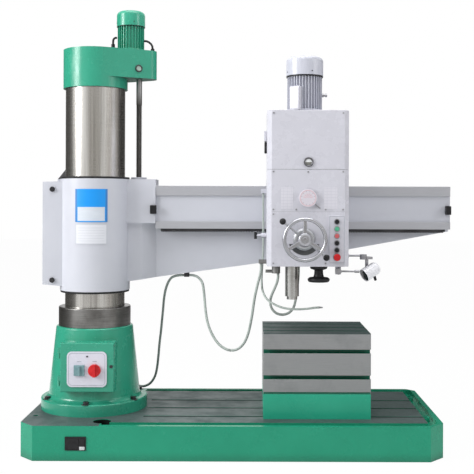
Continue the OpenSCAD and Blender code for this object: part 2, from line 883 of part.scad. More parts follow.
module switch_door() {
  hinge_x = box_x0 - hinge_r;
  hinge_y = door_front + door_t + hinge_r;
  color("seagreen") {
    difference() {
      block([box_x0, door_front, box_bottom],
        [box_x0 + box_w, door_front + door_t - run_gap, box_bottom + box_h]);
      for (x = [isolator_x, pump_switch_x])
        rod_y([x, door_front - over, switch_z], switch_stem_r + fit_gap, door_t + 2 * over);
    }
    for (z = [box_bottom + hinge_h, box_bottom + box_h - hinge_h]) difference() {
      union() {
        translate([hinge_x, hinge_y, z + run_gap])
          cylinder(r = hinge_r - run_gap, h = hinge_h / 2 - 2 * run_gap);
        block([hinge_x - hinge_r / 2, door_front, z + run_gap],
          [box_x0, door_front + door_t - run_gap, z + hinge_h / 2 - run_gap]);
        block([hinge_x - hinge_r / 2, door_front, z + run_gap],
          [hinge_x + hinge_r / 2, hinge_y, z + hinge_h / 2 - run_gap]);
      }
      translate([hinge_x, hinge_y, z - over]) cylinder(r = pin_r + fit_gap, h = hinge_h);
    }
  }
  color("whitesmoke") difference() {
    block([box_mid_x - plate_w / 2, door_front - plate_t, switch_z - plate_h / 2 + plate_t],
      [box_mid_x + plate_w / 2, door_front, switch_z + plate_h / 2 + plate_t]);
    for (x = [isolator_x, pump_switch_x])
      rod_y([x, door_front - plate_t - over, switch_z], switch_stem_r + fit_gap, plate_t + 2 * over);
  }
}

// a rotary switch: stem in the door, and a grip in front of the plate
module switch_stem(x) {
  rod_y([x, door_front - plate_t - run_gap, switch_z], switch_stem_r, plate_t + door_t);
}

module isolator_knob() {
  face = door_front - plate_t - run_gap;
  grip = isolator_r * isolator_grip_share;
  color("firebrick") {
    switch_stem(isolator_x);
    rod_y([isolator_x, face - knob_depth / 2, switch_z], isolator_r, knob_depth / 2);
    block([isolator_x - grip / 2, face - knob_depth, switch_z - isolator_r],
      [isolator_x + grip / 2, face - knob_depth / 2, switch_z + isolator_r]);
  }
}

module pump_switch() {
  face = door_front - plate_t - run_gap;
  half = pump_switch_w / 2;
  grip = pump_switch_w * switch_grip_share;
  grip_h = half * switch_grip_h_share;
  color("slategray") {
    switch_stem(pump_switch_x);
    block([pump_switch_x - half, face - switch_depth / 2, switch_z - half],
      [pump_switch_x + half, face, switch_z + half]);
    block([pump_switch_x - grip / 2, face - switch_depth, switch_z - grip_h],
      [pump_switch_x + grip / 2, face - switch_depth / 2, switch_z + grip_h]);
  }
}

module outer_column() {
  color("lightgray") difference() {
    translate([0, 0, column_foot]) cylinder(r = column_r, h = column_top - column_foot);
    translate([0, 0, column_foot - over])
      cylinder(r = column_bore_r, h = column_top - column_foot + 2 * over);
    key_bar(seat_gap, key_sink, key_rise + over);
  }
}

// the guide key's space at the back of the column
module key_bar(grow, sink, rise) {
  z0 = column_foot + ring_h + key_w;
  block([-key_w / 2 - grow, column_r - sink - grow, z0 - grow],
    [key_w / 2 + grow, column_r + rise, cap_bottom - key_w + grow]);
}

module clamp_ring() {
  color("gainsboro") difference() {
    translate([0, 0, column_foot]) {
      cylinder(r = ring_r, h = ring_h - ring_bevel);
      translate([0, 0, ring_h - ring_bevel])
        cylinder(r1 = ring_r, r2 = ring_r - ring_bevel, h = ring_bevel);
    }
    translate([0, 0, column_foot - over]) cylinder(r = column_r + seat_gap, h = ring_h + 2 * over);
  }
}

module guide_key() {
  color("gray") key_bar(0, key_sink, key_rise);
}

// drop-shaped plan of the column cap: two circles and the tangents between them
module cap_plan() {
  lean = asin((cap_r - cap_end_r) / cap_end_x);
  a = 90 - lean;
  circle(r = cap_r);
  translate([cap_end_x, 0]) circle(r = cap_end_r);
  polygon([
    cap_r * [cos(a), sin(a)], [cap_end_x, 0] + cap_end_r * [cos(a), sin(a)],
    [cap_end_x, 0] + cap_end_r * [cos(a), -sin(a)], cap_r * [cos(a), -sin(a)]
  ]);
}

module column_cap() {
  room_z = cap_arm_bottom + cap_wall;
  room_h = cap_arm_h - 2 * cap_wall;
  color("seagreen") difference() {
    union() {
      translate([0, 0, cap_bottom]) cylinder(r = cap_r, h = cap_h);
      translate([0, 0, cap_arm_bottom]) linear_extrude(cap_arm_h) cap_plan();
    }
    translate([0, 0, cap_bottom - over])
      cylinder(r = column_r + seat_gap, h = column_top - cap_bottom + over);
    translate([screw_x, 0, room_z]) cylinder(r = screw_gear_r + gear_room, h = room_h);
    translate([motor_x, 0, room_z]) cylinder(r = lift_pinion_r + gear_room, h = room_h);
    translate([screw_x, 0, cap_arm_bottom - over])
      cylinder(r = screw_r + fit_gap, h = cap_wall + 2 * over);
    translate([motor_x, 0, room_z]) cylinder(r = lift_shaft_r + fit_gap, h = cap_arm_h);
  }
}

// a finned motor body with its fan cover, standing on a face at Z = 0
module motor(r, h, cover_r, cover_h, fins, bore) {
  fin_foot = r * fin_foot_share;
  fin_w = r * fin_w_share;
  dome = cover_h * dome_share;
  band = h * band_share;
  difference() {
    union() {
      cylinder(r = fin_foot, h = h);
      cylinder(r = r, h = band);
      translate([0, 0, h - band]) cylinder(r = cover_r, h = band);
      for (i = [0 : fins - 1]) rotate(i * 360 / fins)
        translate([fin_foot * fin_root_share, -fin_w / 2, 0])
          cube([r - fin_foot * fin_root_share, fin_w, h]);
    }
    translate([0, 0, -over]) cylinder(r = bore, h = h + 2 * over);
  }
  translate([0, 0, h]) difference() {
    union() {
      cylinder(r = cover_r, h = cover_h - dome);
      translate([0, 0, cover_h - dome]) cylinder(r1 = cover_r, r2 = cover_r - dome, h = dome);
    }
    translate([0, 0, -over]) cylinder(r = cover_r - sheet_t, h = cover_h - dome + over);
    translate([0, 0, cover_h - dome - over])
      cylinder(r1 = cover_r - sheet_t, r2 = cover_r - dome - sheet_t, h = dome - sheet_t + over);
  }
}

module lift_motor() {
  color("seagreen") translate([motor_x, 0, cap_top])
    motor(lift_motor_r, lift_motor_h, lift_cover_r, lift_cover_h, lift_fins, lift_shaft_r + fit_gap);
}

module lift_leads() {
  color("black") {
    tube(lead_right_route, lead_d);
    tube(lead_left_route, lead_d);
  }
  color("silver") for (p = [lead_right_route[5], lead_left_route[5]])
    translate([p[0], p[1], cap_top]) cylinder(r = gland_r, h = p[2] - cap_top - seat_gap);
}

module lift_rotor() {
  fan_z = cap_top + lift_motor_h + gear_room;
  color("gray") translate([motor_x, 0, 0]) {
    translate([0, 0, gear_z + lift_gear_w]) cylinder(r = lift_shaft_r, h = fan_z - gear_z - lift_gear_w);
    translate([0, 0, fan_z]) cylinder(r = lift_cover_r * fan_r_share, h = lift_cover_h * fan_h_share);
    translate([0, 0, gear_z]) linear_extrude(lift_gear_w) gear_outline(lift_module, lift_pinion_teeth);
  }
}

module lead_screw() {
  tooth_turn = 180 + 180 / screw_gear_teeth;
  color("dimgray") translate([screw_x, 0, 0]) {
    translate([0, 0, screw_bottom]) cylinder(r = screw_r, h = gear_z - screw_bottom);
    translate([0, 0, gear_z]) linear_extrude(lift_gear_w) rotate(tooth_turn)
      gear_outline(lift_module, screw_gear_teeth);
    translate([0, 0, gear_z + lift_gear_w]) cylinder(r = screw_r, h = lift_gear_w);
  }
}

// side view of the beam, from the sleeve to the tip
module beam_side() {
  polygon([
    [0, sleeve_bottom + ear_cut], [beam_start, beam_low], [beam_mid_x, beam_mid], [arm_end, beam_tip],
    [arm_end, rail_top - ledge_h], [0, rail_top - ledge_h]
  ]);
}

module arm_casting() {
  color("gainsboro") difference() {
    union() {
      translate([0, 0, sleeve_bottom]) cylinder(r = sleeve_r, h = sleeve_h);
      translate([0, ear_half, 0]) rotate([90, 0, 0]) linear_extrude(2 * ear_half) polygon([
        [-ear_reach, sleeve_bottom + ear_cut], [0, sleeve_bottom + ear_cut / 3],
          [0, arm_top - ear_cut / 3],
        [-ear_reach, arm_top - ear_cut / 2]
      ]);
      rotate([90, 0, 90]) linear_extrude(boss_end) polygon([
        [-boss_front, boss_bottom], [boss_half, boss_bottom], [boss_half, arm_top],
        [-boss_front + boss_cut_in, arm_top], [-boss_front, arm_top - boss_cut]
      ]);
      intersection() {
        translate([0, over, 0]) rotate([90, 0, 0]) linear_extrude(web_front + 2 * over) beam_side();
        linear_extrude(arm_top)
          polygon([[0, over], [0, -web_front], [boss_end - web_run, -web_front], [boss_end, over]]);
      }
      translate([0, beam_back, 0]) rotate([90, 0, 0]) linear_extrude(beam_back) beam_side();
      block([boss_end - over, -beam_front, rail_bottom + ledge_h], [arm_end, over, rail_top - ledge_h]);
      block([boss_end - over, -rail_front + fascia_sink, rail_bottom + lower_rail_h],
        [arm_end, over, rail_top - upper_rail_h]);
      translate([0, gusset_y + gusset_t, arm_top]) rotate([90, 0, 0]) linear_extrude(gusset_t) polygon([
        [-column_r - gusset_w - fascia_sink, -ear_cut], [-column_r - fascia_sink, -ear_cut],
        [-column_r - fascia_sink, gusset_h], [-column_r - gusset_w - fascia_sink, 0]
      ]);
    }
    translate([0, 0, sleeve_bottom - over])
      cylinder(r = column_r + fit_gap, h = sleeve_h + gusset_h + 2 * over);
    block([-key_w / 2 - run_gap, 0, sleeve_bottom - over],
      [key_w / 2 + run_gap, column_r + key_rise + run_gap, arm_top + over]);
    block([-ear_reach - over, -split_w / 2, sleeve_bottom - over], [0, split_w / 2, arm_top + over]);
    translate([screw_x, 0, arm_top - nut_h]) cylinder(r = nut_r + seat_gap, h = nut_h + over);
    translate([screw_x, 0, sleeve_bottom - over]) cylinder(r = screw_r + gear_room, h = sleeve_h);
    ear_bolt_places() rod_y([0, -ear_half - over, 0], ear_bolt_r + seat_gap, 2 * ear_half + 2 * over);
  }
}

// axes of the sleeve clamp bolts
module ear_bolt_places() {
  for (z = [sleeve_bottom + ear_bolt_drop, arm_top - ear_bolt_drop])
    translate([-ear_reach + ear_bolt_in, 0, z]) children();
}

module guide_rails() {
  color("darkgray") for (z = [[rail_bottom, lower_rail_h], [rail_top - upper_rail_h, upper_rail_h]])
    block([boss_end, -rail_front, z[0]], [arm_end, -beam_front, z[0] + z[1]]);
}

module traverse_rack() {
  top = rail_bottom - wheel_z - traverse_r;
  color("gray") translate([wheel_x, -beam_front - rack_inset, wheel_z + traverse_r]) rotate([90, 0, 0])
    linear_extrude(rack_w)
      rack_outline(rack_module, boss_end - wheel_x + rack_w, arm_end - wheel_x - rack_w, top);
}

module lift_nut() {
  color("peru") translate([screw_x, 0, arm_top]) difference() {
    union() {
      translate([0, 0, -nut_h]) cylinder(r = nut_r, h = nut_h);
      cylinder(r = nut_flange_r, h = wiper_h);
    }
    translate([0, 0, -nut_h - over]) cylinder(r = screw_r + fit_gap, h = nut_h + wiper_h + 2 * over);
  }
}

module wiper_rings() {
  color("black") for (z = [sleeve_bottom - wiper_h, arm_top]) translate([0, 0, z]) difference() {
    cylinder(r = sleeve_r - sheet_t, h = wiper_h);
    translate([0, 0, -over]) cylinder(r = column_r + run_gap, h = wiper_h + 2 * over);
    block([-key_w / 2 - run_gap, 0, -over],
      [key_w / 2 + run_gap, column_r + key_rise + run_gap, wiper_h + over]);
    block([0, gusset_y - over, -over] - [column_r + gusset_w + gusset_w, 0, 0],
      [-column_r + fascia_sink, gusset_y + gusset_t + over, wiper_h + over]);
    translate([screw_x, 0, -over]) cylinder(r = nut_flange_r + seat_gap, h = wiper_h + 2 * over);
  }
}

module ear_bolts() {
  color("dimgray") ear_bolt_places() {
    rod_y([0, -ear_half - ear_bolt_r, 0], ear_head_r, ear_bolt_r);
    rod_y([0, -ear_half, 0], ear_bolt_r, 2 * ear_half);
    rod_y([0, ear_half, 0], ear_head_r, ear_bolt_r);
  }
}

module end_stops() {
  low = wheel_z + 2 * ear_bolt_drop + fascia_sink;
  high = low + ear_cut + ear_head_r;
  color("black") {
    block([boss_end - stop_back, -rail_front - stop_out, low], [boss_end + stop_tip, -boss_front, high]);
    block([arm_end - stop_length - fascia_sink, -rail_front - stop_out, low],
      [arm_end, -rail_front + fascia_sink, high]);
  }
}

module sleeve_plates() {
  for (c = [[sign_top - sign_h, sign_h, "deepskyblue"],
    [sign_top - sign_h - plate_space - info_h, info_h, "lightgray"]])
    color(c[2]) translate([0, 0, c[0]]) rotate(sign_place_angle - sign_angle / 2)
      rotate_extrude(angle = sign_angle)
      translate([sleeve_r + seat_gap, 0]) square([sign_t, c[1]]);
}

module hose_clip() {
  low = hose_loop_route[0][2];
  color("dimgray") difference() {
    block([clip_x - clip_w / 2, clip_y - clip_t / 2, low - clip_drop],
      [clip_x + clip_w / 2, clip_y + clip_t / 2, low + clip_rise]);
    translate([beam_start, clip_y + clip_t, beam_low]) rotate([90, -beam_slope, 0])
      linear_extrude(2 * clip_t) square([arm_end, 2 * clip_rise]);
  }
}

// plan of the head with its cut front edges, shrunk by a wall
module head_plan(wall, y0, y1) {
  c = cover_corner - wall / 2;
  polygon([
    [head_left + wall, y1], [head_left + wall, y0 + wall + c], [head_left + wall + c, y0 + wall],
    [head_right - wall - c, y0 + wall], [head_right - wall, y0 + wall + c], [head_right - wall, y1]
  ]);
}

module head_casting() {
  room_h = head_h - 2 * head_wall;
  color("whitesmoke") difference() {
    union() {
      block([head_left, cover_back, head_bottom], [head_right, -head_back, head_top]);
      block([lever_x - lug_w / 2, lever_y, lever_z - lever_r],
        [lever_x + lug_w / 2, lever_y + lug_w, head_bottom + over]);
    }
    block([head_left + head_wall, cover_back - over, head_bottom + head_wall],
      [head_right - head_wall, -head_back - back_wall, shelf_z]);
    block([head_left + head_wall, cover_back - over, shelf_z + shelf_t],
      [head_right - head_wall, -head_back - back_wall, head_bottom + head_wall + room_h]);
    translate([spindle_x, -spindle_front, 0])
      cylinder(r = quill_r + fit_gap, h = head_top - head_wall - over);
    rod_y([wheel_x, -head_back - back_wall - over, wheel_z], traverse_shaft_r + fit_gap,
      back_wall + 2 * over);
    rod_y([lever_x, lever_y - over, lever_z], rod_r + fit_gap, lug_w + 2 * over);
    translate([fine_x, fine_y, head_bottom - over])
      cylinder(r = fine_stem_r + fit_gap, h = head_wall + 2 * over);
    rod_x([head_left - over, clamp_y, clamp_z], clamp_rod_r + fit_gap, head_wall + 2 * over);
  }
}

// a front cover between two heights: a tray with cut upright edges
module cover(z0, z1) {
  difference() {
    translate([0, 0, z0]) linear_extrude(z1 - z0) head_plan(0, -head_front, cover_back);
    translate([0, 0, z0 + cover_wall]) linear_extrude(z1 - z0 - 2 * cover_wall)
      head_plan(cover_wall, -head_front, cover_back + over);
  }
}

module upper_cover() {
  color("whitesmoke") cover(upper_seam + run_gap, head_top);
}

module dial_panel() {
  color("whitesmoke") difference() {
    cover(lower_seam + run_gap, upper_seam);
    rod_y([dial_x, -head_front - over, dial_z], dial_stem_r + fit_gap, cover_wall + 2 * over);
  }
}

// heights of the six buttons from the top down
button_heights = [for (i = [0 : 4]) button_z - i * button_pitch];

module lower_cover() {
  face = -head_front - panel_t;
  color("whitesmoke") difference() {
    union() {
      cover(head_bottom, lower_seam);
      block([panel_x - panel_w / 2, face, panel_bottom],
        [panel_x + panel_w / 2, -head_front, panel_bottom + panel_h]);
    }
    rod_y([wheel_x, -head_front - over, wheel_z], feed_shaft_r + fit_gap, cover_wall + 2 * over);
    for (z = concat(button_heights, [stop_z]))
      rod_y([panel_x, face - over, z], button_r + fit_gap, panel_t + cover_wall + 2 * over);
  }
}

module saddle_keepers() {
  lip = beam_front - run_gap - sheet_t;
  low = wheel_z + sheet_t;
  rack_low = wheel_z + traverse_r - 2 * rack_module;
  color("gray") {
    block([head_left, -head_back, rail_top + run_gap], [head_right, -sheet_t, rail_top + rack_w]);
    block([head_left, -beam_front + run_gap, rail_top - ledge_h + sheet_t],
      [head_right, -sheet_t, rail_top + run_gap]);
    for (x = [head_left, wheel_x + 2 * traverse_r]) {
      block([x, -head_back, low], [x + 4 * traverse_r, -sheet_t, rack_low]);
      block([x, -lip, rack_low], [x + 4 * traverse_r, -sheet_t, rail_bottom + ledge_h - sheet_t]);
    }
  }
}

module main_motor() {
  x = head_left + motor_in;
  box_d = motor_r * terminal_d_share;
  box_half = motor_r * terminal_w_share;
  box_in = motor_r * terminal_in_share;
  color("lightgray") translate([x, -spindle_front, head_top]) {
    motor(motor_r, motor_h, fan_cover_r, fan_cover_h, motor_fins, lift_shaft_r);
    rotate(terminal_angle) translate([box_in, -box_half, motor_h * terminal_low_share]) difference() {
      cube([box_d, 2 * box_half, motor_h * terminal_h_share]);
      translate([-box_in, box_half, -over]) cylinder(r = motor_r + seat_gap, h = motor_h);
    }
  }
}

module sight_glass() {
  color("gray") rod_y([glass_x, -head_front - glass_t, glass_z], glass_r, glass_t);
}

module quill() {
  rack_x = wheel_x - spindle_x - feed_r;
  reach = quill_length * rack_reach_share;
  color("silver") translate([spindle_x, -spindle_front, 0]) difference() {
    translate([0, 0, quill_bottom]) cylinder(r = quill_r, h = quill_length);
    translate([0, 0, quill_bottom - over])
      cylinder(r = spindle_r + fit_gap, h = socket_depth + spindle_r);
    translate([0, 0, quill_bottom]) cylinder(r = spline_r + fit_gap, h = quill_length + over);
    difference() {
      block([rack_x - dedendum_share * rack_module, -rack_w / 2 - sheet_t, wheel_z - reach],
        [quill_r + over, rack_w / 2 + sheet_t, wheel_z + reach]);
      translate([rack_x, rack_w, wheel_z]) rotate([90, 90, 0]) linear_extrude(2 * rack_w)
        rotate(180) rack_outline(rack_module, -quill_length / 2, quill_length / 2, rack_module * 2);
    }
  }
}

module spindle() {
  bottom = quill_bottom - nose_h;
  top = head_top - spindle_drop;
  color("silver") translate([spindle_x, -spindle_front, 0]) difference() {
    union() {
      translate([0, 0, bottom])
        cylinder(r = spindle_r, h = nose_h + socket_depth + spindle_r - 2 * over);
      translate([0, 0, quill_bottom]) cylinder(r = spline_r, h = top - quill_bottom);
    }
    translate([0, 0, bottom - over])
      cylinder(r1 = socket_r, r2 = socket_r - socket_taper, h = socket_depth);
  }
}

module feed_handle() {
  back = -spindle_front + rack_w / 2;
  color("silver") translate([wheel_x, 0, wheel_z]) difference() {
    union() {
      rod_y([0, hub_back, 0], feed_shaft_r, back - hub_back);
      rod_y([0, hub_back - hub_t, 0], hub_r, hub_t + sheet_t);
      translate([0, back, 0]) rotate([90, 180, 0]) linear_extrude(rack_w)
        gear_outline(rack_module, feed_teeth);
      for (a = [handle_angle, handle_angle + 180]) translate([0, handle_y, 0]) rotate([0, -a, 0])
        translate([hub_r / 2, 0, 0]) rotate([0, 90, 0])
          cylinder(r = rod_r, h = handle_reach - hub_r / 2);
    }
    rod_y([0, hub_back - hub_t - over, 0], traverse_shaft_r + fit_gap, back - hub_back + hub_t + 2 * over);
  }
  color("black") for (a = [handle_angle, handle_angle + 180])
    translate([wheel_x, handle_y, wheel_z]) rotate([0, -a, 0])
      translate([handle_reach, 0, 0]) difference() {
      sphere(r = ball_r);
      translate([-2 * ball_r, 0, 0]) rotate([0, 90, 0])
        cylinder(r = rod_r + seat_gap, h = 2 * ball_r + seat_gap);
    }
}

module handwheel() {
  rim_r = wheel_r - rim_d / 2;
  pinion_y = -beam_front - rack_inset;
  hub_front = hub_back - hub_t - hub_t - run_gap;
  color("silver") translate([wheel_x, 0, wheel_z]) {
    rod_y([0, hub_front, 0], hub_r * hub_cap_share, hub_t);
    rod_y([0, hub_front + hub_t, 0], traverse_shaft_r, pinion_y - hub_front - hub_t);
    translate([0, pinion_y, 0]) rotate([90, 0, 0]) linear_extrude(rack_w) rotate(90)
      gear_outline(rack_module, traverse_teeth);
    translate([0, wheel_y, 0]) rotate([90, 0, 0]) rotate_extrude()
      translate([rim_r, 0]) circle(r = rim_d / 2, $fn = 32);
    for (a = [90, 210, 330]) rotate([0, -a, 0]) block([hub_r / 2, wheel_y - spoke_t / 2, -spoke_w / 2],
      [rim_r, wheel_y + spoke_t / 2, spoke_w / 2]);
  }
}

module speed_dial() {
  face = -head_front - run_gap;
  color("whitesmoke") {
    rod_y([dial_x, face - dial_t, dial_z], dial_r, dial_t);
    rod_y([dial_x, face, dial_z], dial_stem_r, cover_wall);
  }
}

// a push button that slides into the panel
module button(z, r, cap_t) {
  face = -head_front - panel_t;
  rod_y([panel_x, face - button_rise, z], button_r, button_rise + button_hold - button_travel);
  if (cap_t > 0) rod_y([panel_x, face - button_rise - cap_t, z], r, cap_t);
}

module button_top() {
  color("black") button(button_heights[0], button_r, 0);
}

module button_start() {
  color("green") button(button_heights[1], button_r, 0);
}

module button_reverse() {
  color("indianred") button(button_heights[2], button_r, 0);
}

module button_up() {
  color("black") button(button_heights[3], button_r, 0);
}

module button_down() {
  color("black") button(button_heights[4], button_r, 0);
}

module button_stop() {
  color("red") button(stop_z, stop_button_r, stop_cap_t);
}

module fine_feed_knob() {
  color("black") translate([fine_x, fine_y, 0]) {
    translate([0, 0, fine_z]) cylinder(r = fine_r, h = fine_h);
    translate([0, 0, fine_z + fine_h])
      cylinder(r = fine_stem_r, h = head_bottom + stem_hold - fine_z - fine_h);
    translate([0, 0, fine_z + fine_h])
      cylinder(r = 2 * fine_stem_r, h = head_bottom - fine_z - fine_h - run_gap);
  }
}

module operating_lever() {
  face = lever_y - run_gap;
  color("silver") {
    rod_y([lever_x, face - lever_t, lever_z], lever_r, lever_t);
    rod_y([lever_x, face, lever_z], rod_r, lug_w);
    rod_x([lever_x, face - lever_t / 2, lever_z], lever_rod_r, lever_reach);
  }
  color("black") translate([lever_reach, 0, 0])
    rod_x([lever_x, face - lever_t / 2, lever_z], lever_tip_r, lever_tip);
}

module head_clamp_lever() {
  color("white") {
    rod_x([head_left - clamp_reach, clamp_y, clamp_z], clamp_rod_r, clamp_reach + clamp_hold);
    rod_x([head_left - clamp_reach / 2, clamp_y, clamp_z], 2 * clamp_rod_r, clamp_reach / 2 - run_gap);
  }
  color("black") translate([head_left - clamp_reach, clamp_y, clamp_z - clamp_bar / 2])
    cylinder(r = clamp_bar_r, h = clamp_bar);
}

module lamp_bracket() {
  color("whitesmoke") {
    difference() {
      rod_x([head_right, lamp_y, lamp_z], lamp_bar_r, lamp_out + lamp_joint_r / 2);
      translate([lamp_pivot_x, lamp_y, lamp_z])
        cylinder(r = lamp_joint_r - over, h = 2 * lamp_joint_r, center = true);
    }
    rod_x([head_right, lamp_y, lamp_z], 2 * lamp_bar_r, lamp_bar_r);
    difference() {
      translate([lamp_pivot_x, lamp_y, lamp_z])
        cylinder(r = lamp_joint_r, h = lamp_joint_t, center = true);
      translate([lamp_pivot_x, lamp_y, lamp_z])
        cylinder(r = pin_r + fit_gap, h = 2 * lamp_joint_t, center = true);
    }
  }
}

// what hangs on the bracket, swung towards the front
module lamp_swung() {
  translate([lamp_pivot_x, lamp_y, 0]) rotate(lamp_swing_angle)
    translate([-lamp_pivot_x, -lamp_y, 0]) children();
}

module lamp_arm() {
  low = lamp_z - lamp_joint_t / 2 - run_gap;
  color("whitesmoke") lamp_swung() difference() {
    union() {
      translate([lamp_pivot_x, lamp_y, low - lamp_joint_t]) cylinder(r = lamp_joint_r, h = lamp_joint_t);
      translate([lamp_pivot_x, lamp_y, low]) cylinder(r = pin_r, h = lamp_joint_t + run_gap);
      block([lamp_pivot_x, lamp_y - lamp_bar_r, low - lamp_joint_t],
        [lamp_centre_x, lamp_y + lamp_bar_r, low]);
      block([lamp_centre_x - lamp_joint_r / 2, lamp_y + lamp_r + run_gap, lamp_centre_z - lamp_joint_r],
        [lamp_centre_x + lamp_joint_r / 2, lamp_y + lamp_r + run_gap + lamp_bar_r, low]);
      block([lamp_centre_x - lamp_joint_r / 2, lamp_y - lamp_bar_r, low - lamp_joint_t],
        [lamp_centre_x + lamp_joint_r / 2, lamp_y + lamp_r + run_gap + lamp_bar_r, low]);
    }
    rod_y([lamp_centre_x, lamp_y + lamp_r, lamp_centre_z], pin_r + fit_gap, 2 * lamp_bar_r);
  }
}

module lamp_body() {
  color("white") lamp_swung() translate([lamp_centre_x, lamp_y, lamp_centre_z]) {
    rod_y([0, lamp_r - 2 * lamp_wall, 0], pin_r, lamp_bar_r + 2 * lamp_wall);
    rotate([0, -90 - lamp_tilt, 0]) difference() {
      translate([0, 0, -lamp_length / 2]) cylinder(r = lamp_r, h = lamp_length);
      translate([0, 0, -lamp_length / 2 + lamp_wall]) cylinder(r = lamp_r - lamp_wall, h = lamp_length);
    }
  }
  color("lightyellow") lamp_swung() translate([lamp_centre_x, lamp_y, lamp_centre_z])
    rotate([0, -90 - lamp_tilt, 0]) translate([0, 0, lamp_length / 2 - lamp_wall - lens_t])
      cylinder(r = lamp_r - lamp_wall - seat_gap, h = lens_t);
}

module coolant_manifold() {
  color("gray") {
    translate([valve_x, valve_y, head_bottom - valve_h]) cylinder(r = valve_r, h = valve_h);
    rod_x([valve_x - tap_reach, valve_y, tap_z], tap_r, tap_reach);
    translate([drain_end[0], drain_end[1], drain_end[2]]) cylinder(r = tap_r, h = head_bottom - drain_end[2]);
    for (end = [supply_end, nozzle_route[0]])
      block([end[0] - inlet_w / 2, end[1] - inlet_w / 2, end[2]],
        [head_left, end[1] + inlet_w / 2, end[2] + inlet_h]);
  }
}

module supply_hose_low() {
  color("lightgray") tube(hose_low_route, hose_d);
}

module supply_hose_high() {
  color("lightgray") tube(hose_high_route, hose_d);
}

module supply_loop() {
  color("lightgray") tube(hose_loop_route, hose_d);
}

module nozzle_hose() {
  tip = nozzle_route[len(nozzle_route) - 1];
  color("lightgray") tube(nozzle_route, nozzle_hose_d);
  color("gray") rod_x(tip, nozzle_hose_d / 2, 2 * nozzle_hose_d);
}

module loop_hose() {
  color("lightgray") tube(loop_route, hose_d);
}

base_casting();
front_plate();
pedestal();
pedestal_bolts();
inner_column();
column_bearings();
box_table();
table_bolts();
coolant_pump();
switch_box();
switch_door();
isolator_knob();
pump_switch();
outer_column();
clamp_ring();
guide_key();
column_cap();
lift_motor();
lift_leads();
lift_rotor();
lead_screw();
arm_casting();
guide_rails();
traverse_rack();
lift_nut();
wiper_rings();
ear_bolts();
end_stops();
sleeve_plates();
hose_clip();
head_casting();
upper_cover();
dial_panel();
lower_cover();
saddle_keepers();
main_motor();
sight_glass();
quill();
spindle();
feed_handle();
handwheel();
speed_dial();
button_top();
button_start();
button_reverse();
button_up();
button_down();
button_stop();
fine_feed_knob();
operating_lever();
head_clamp_lever();
lamp_bracket();
lamp_arm();
lamp_body();
coolant_manifold();
supply_hose_low();
supply_hose_high();
supply_loop();
nozzle_hose();
loop_hose();
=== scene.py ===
import math

import bmesh
import bpy
from mathutils import Matrix, Vector


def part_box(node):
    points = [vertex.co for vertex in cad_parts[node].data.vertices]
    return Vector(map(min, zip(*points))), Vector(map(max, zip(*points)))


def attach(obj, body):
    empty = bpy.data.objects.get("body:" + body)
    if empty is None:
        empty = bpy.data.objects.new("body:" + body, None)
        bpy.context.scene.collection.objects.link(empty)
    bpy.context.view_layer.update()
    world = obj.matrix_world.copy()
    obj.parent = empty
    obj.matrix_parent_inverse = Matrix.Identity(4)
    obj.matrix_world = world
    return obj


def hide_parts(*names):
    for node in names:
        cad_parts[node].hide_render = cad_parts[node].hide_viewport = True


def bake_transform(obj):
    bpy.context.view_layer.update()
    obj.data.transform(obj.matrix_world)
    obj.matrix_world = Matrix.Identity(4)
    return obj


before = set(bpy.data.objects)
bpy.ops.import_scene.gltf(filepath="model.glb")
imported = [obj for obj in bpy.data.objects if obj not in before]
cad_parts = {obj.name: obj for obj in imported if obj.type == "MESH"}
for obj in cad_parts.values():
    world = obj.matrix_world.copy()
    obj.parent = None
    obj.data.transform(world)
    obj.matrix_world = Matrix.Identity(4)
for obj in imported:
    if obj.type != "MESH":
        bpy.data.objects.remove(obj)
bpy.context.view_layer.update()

# Studio: the machine is looked at from the operator's side by a level camera a little over five metres away.
# The picture was cut from a larger one, so the lens is shifted: its axis lies right of and above the centre.
view = bpy.data.cameras.new("view")
view.lens, view.sensor_width = 67.9, 36.0
view.shift_x, view.shift_y = -0.0316, -0.0686


def stand(name, data):
    """A new object in the scene."""
    thing = bpy.data.objects.new(name, data)
    bpy.context.scene.collection.objects.link(thing)
    return thing


camera = stand("view", view)
camera.location = (0.9336, -5.330, 1.390)
camera.rotation_euler = (math.radians(90), math.radians(-0.2), 0)
bpy.context.scene.camera = camera
bpy.context.scene.view_settings.view_transform = "Standard"


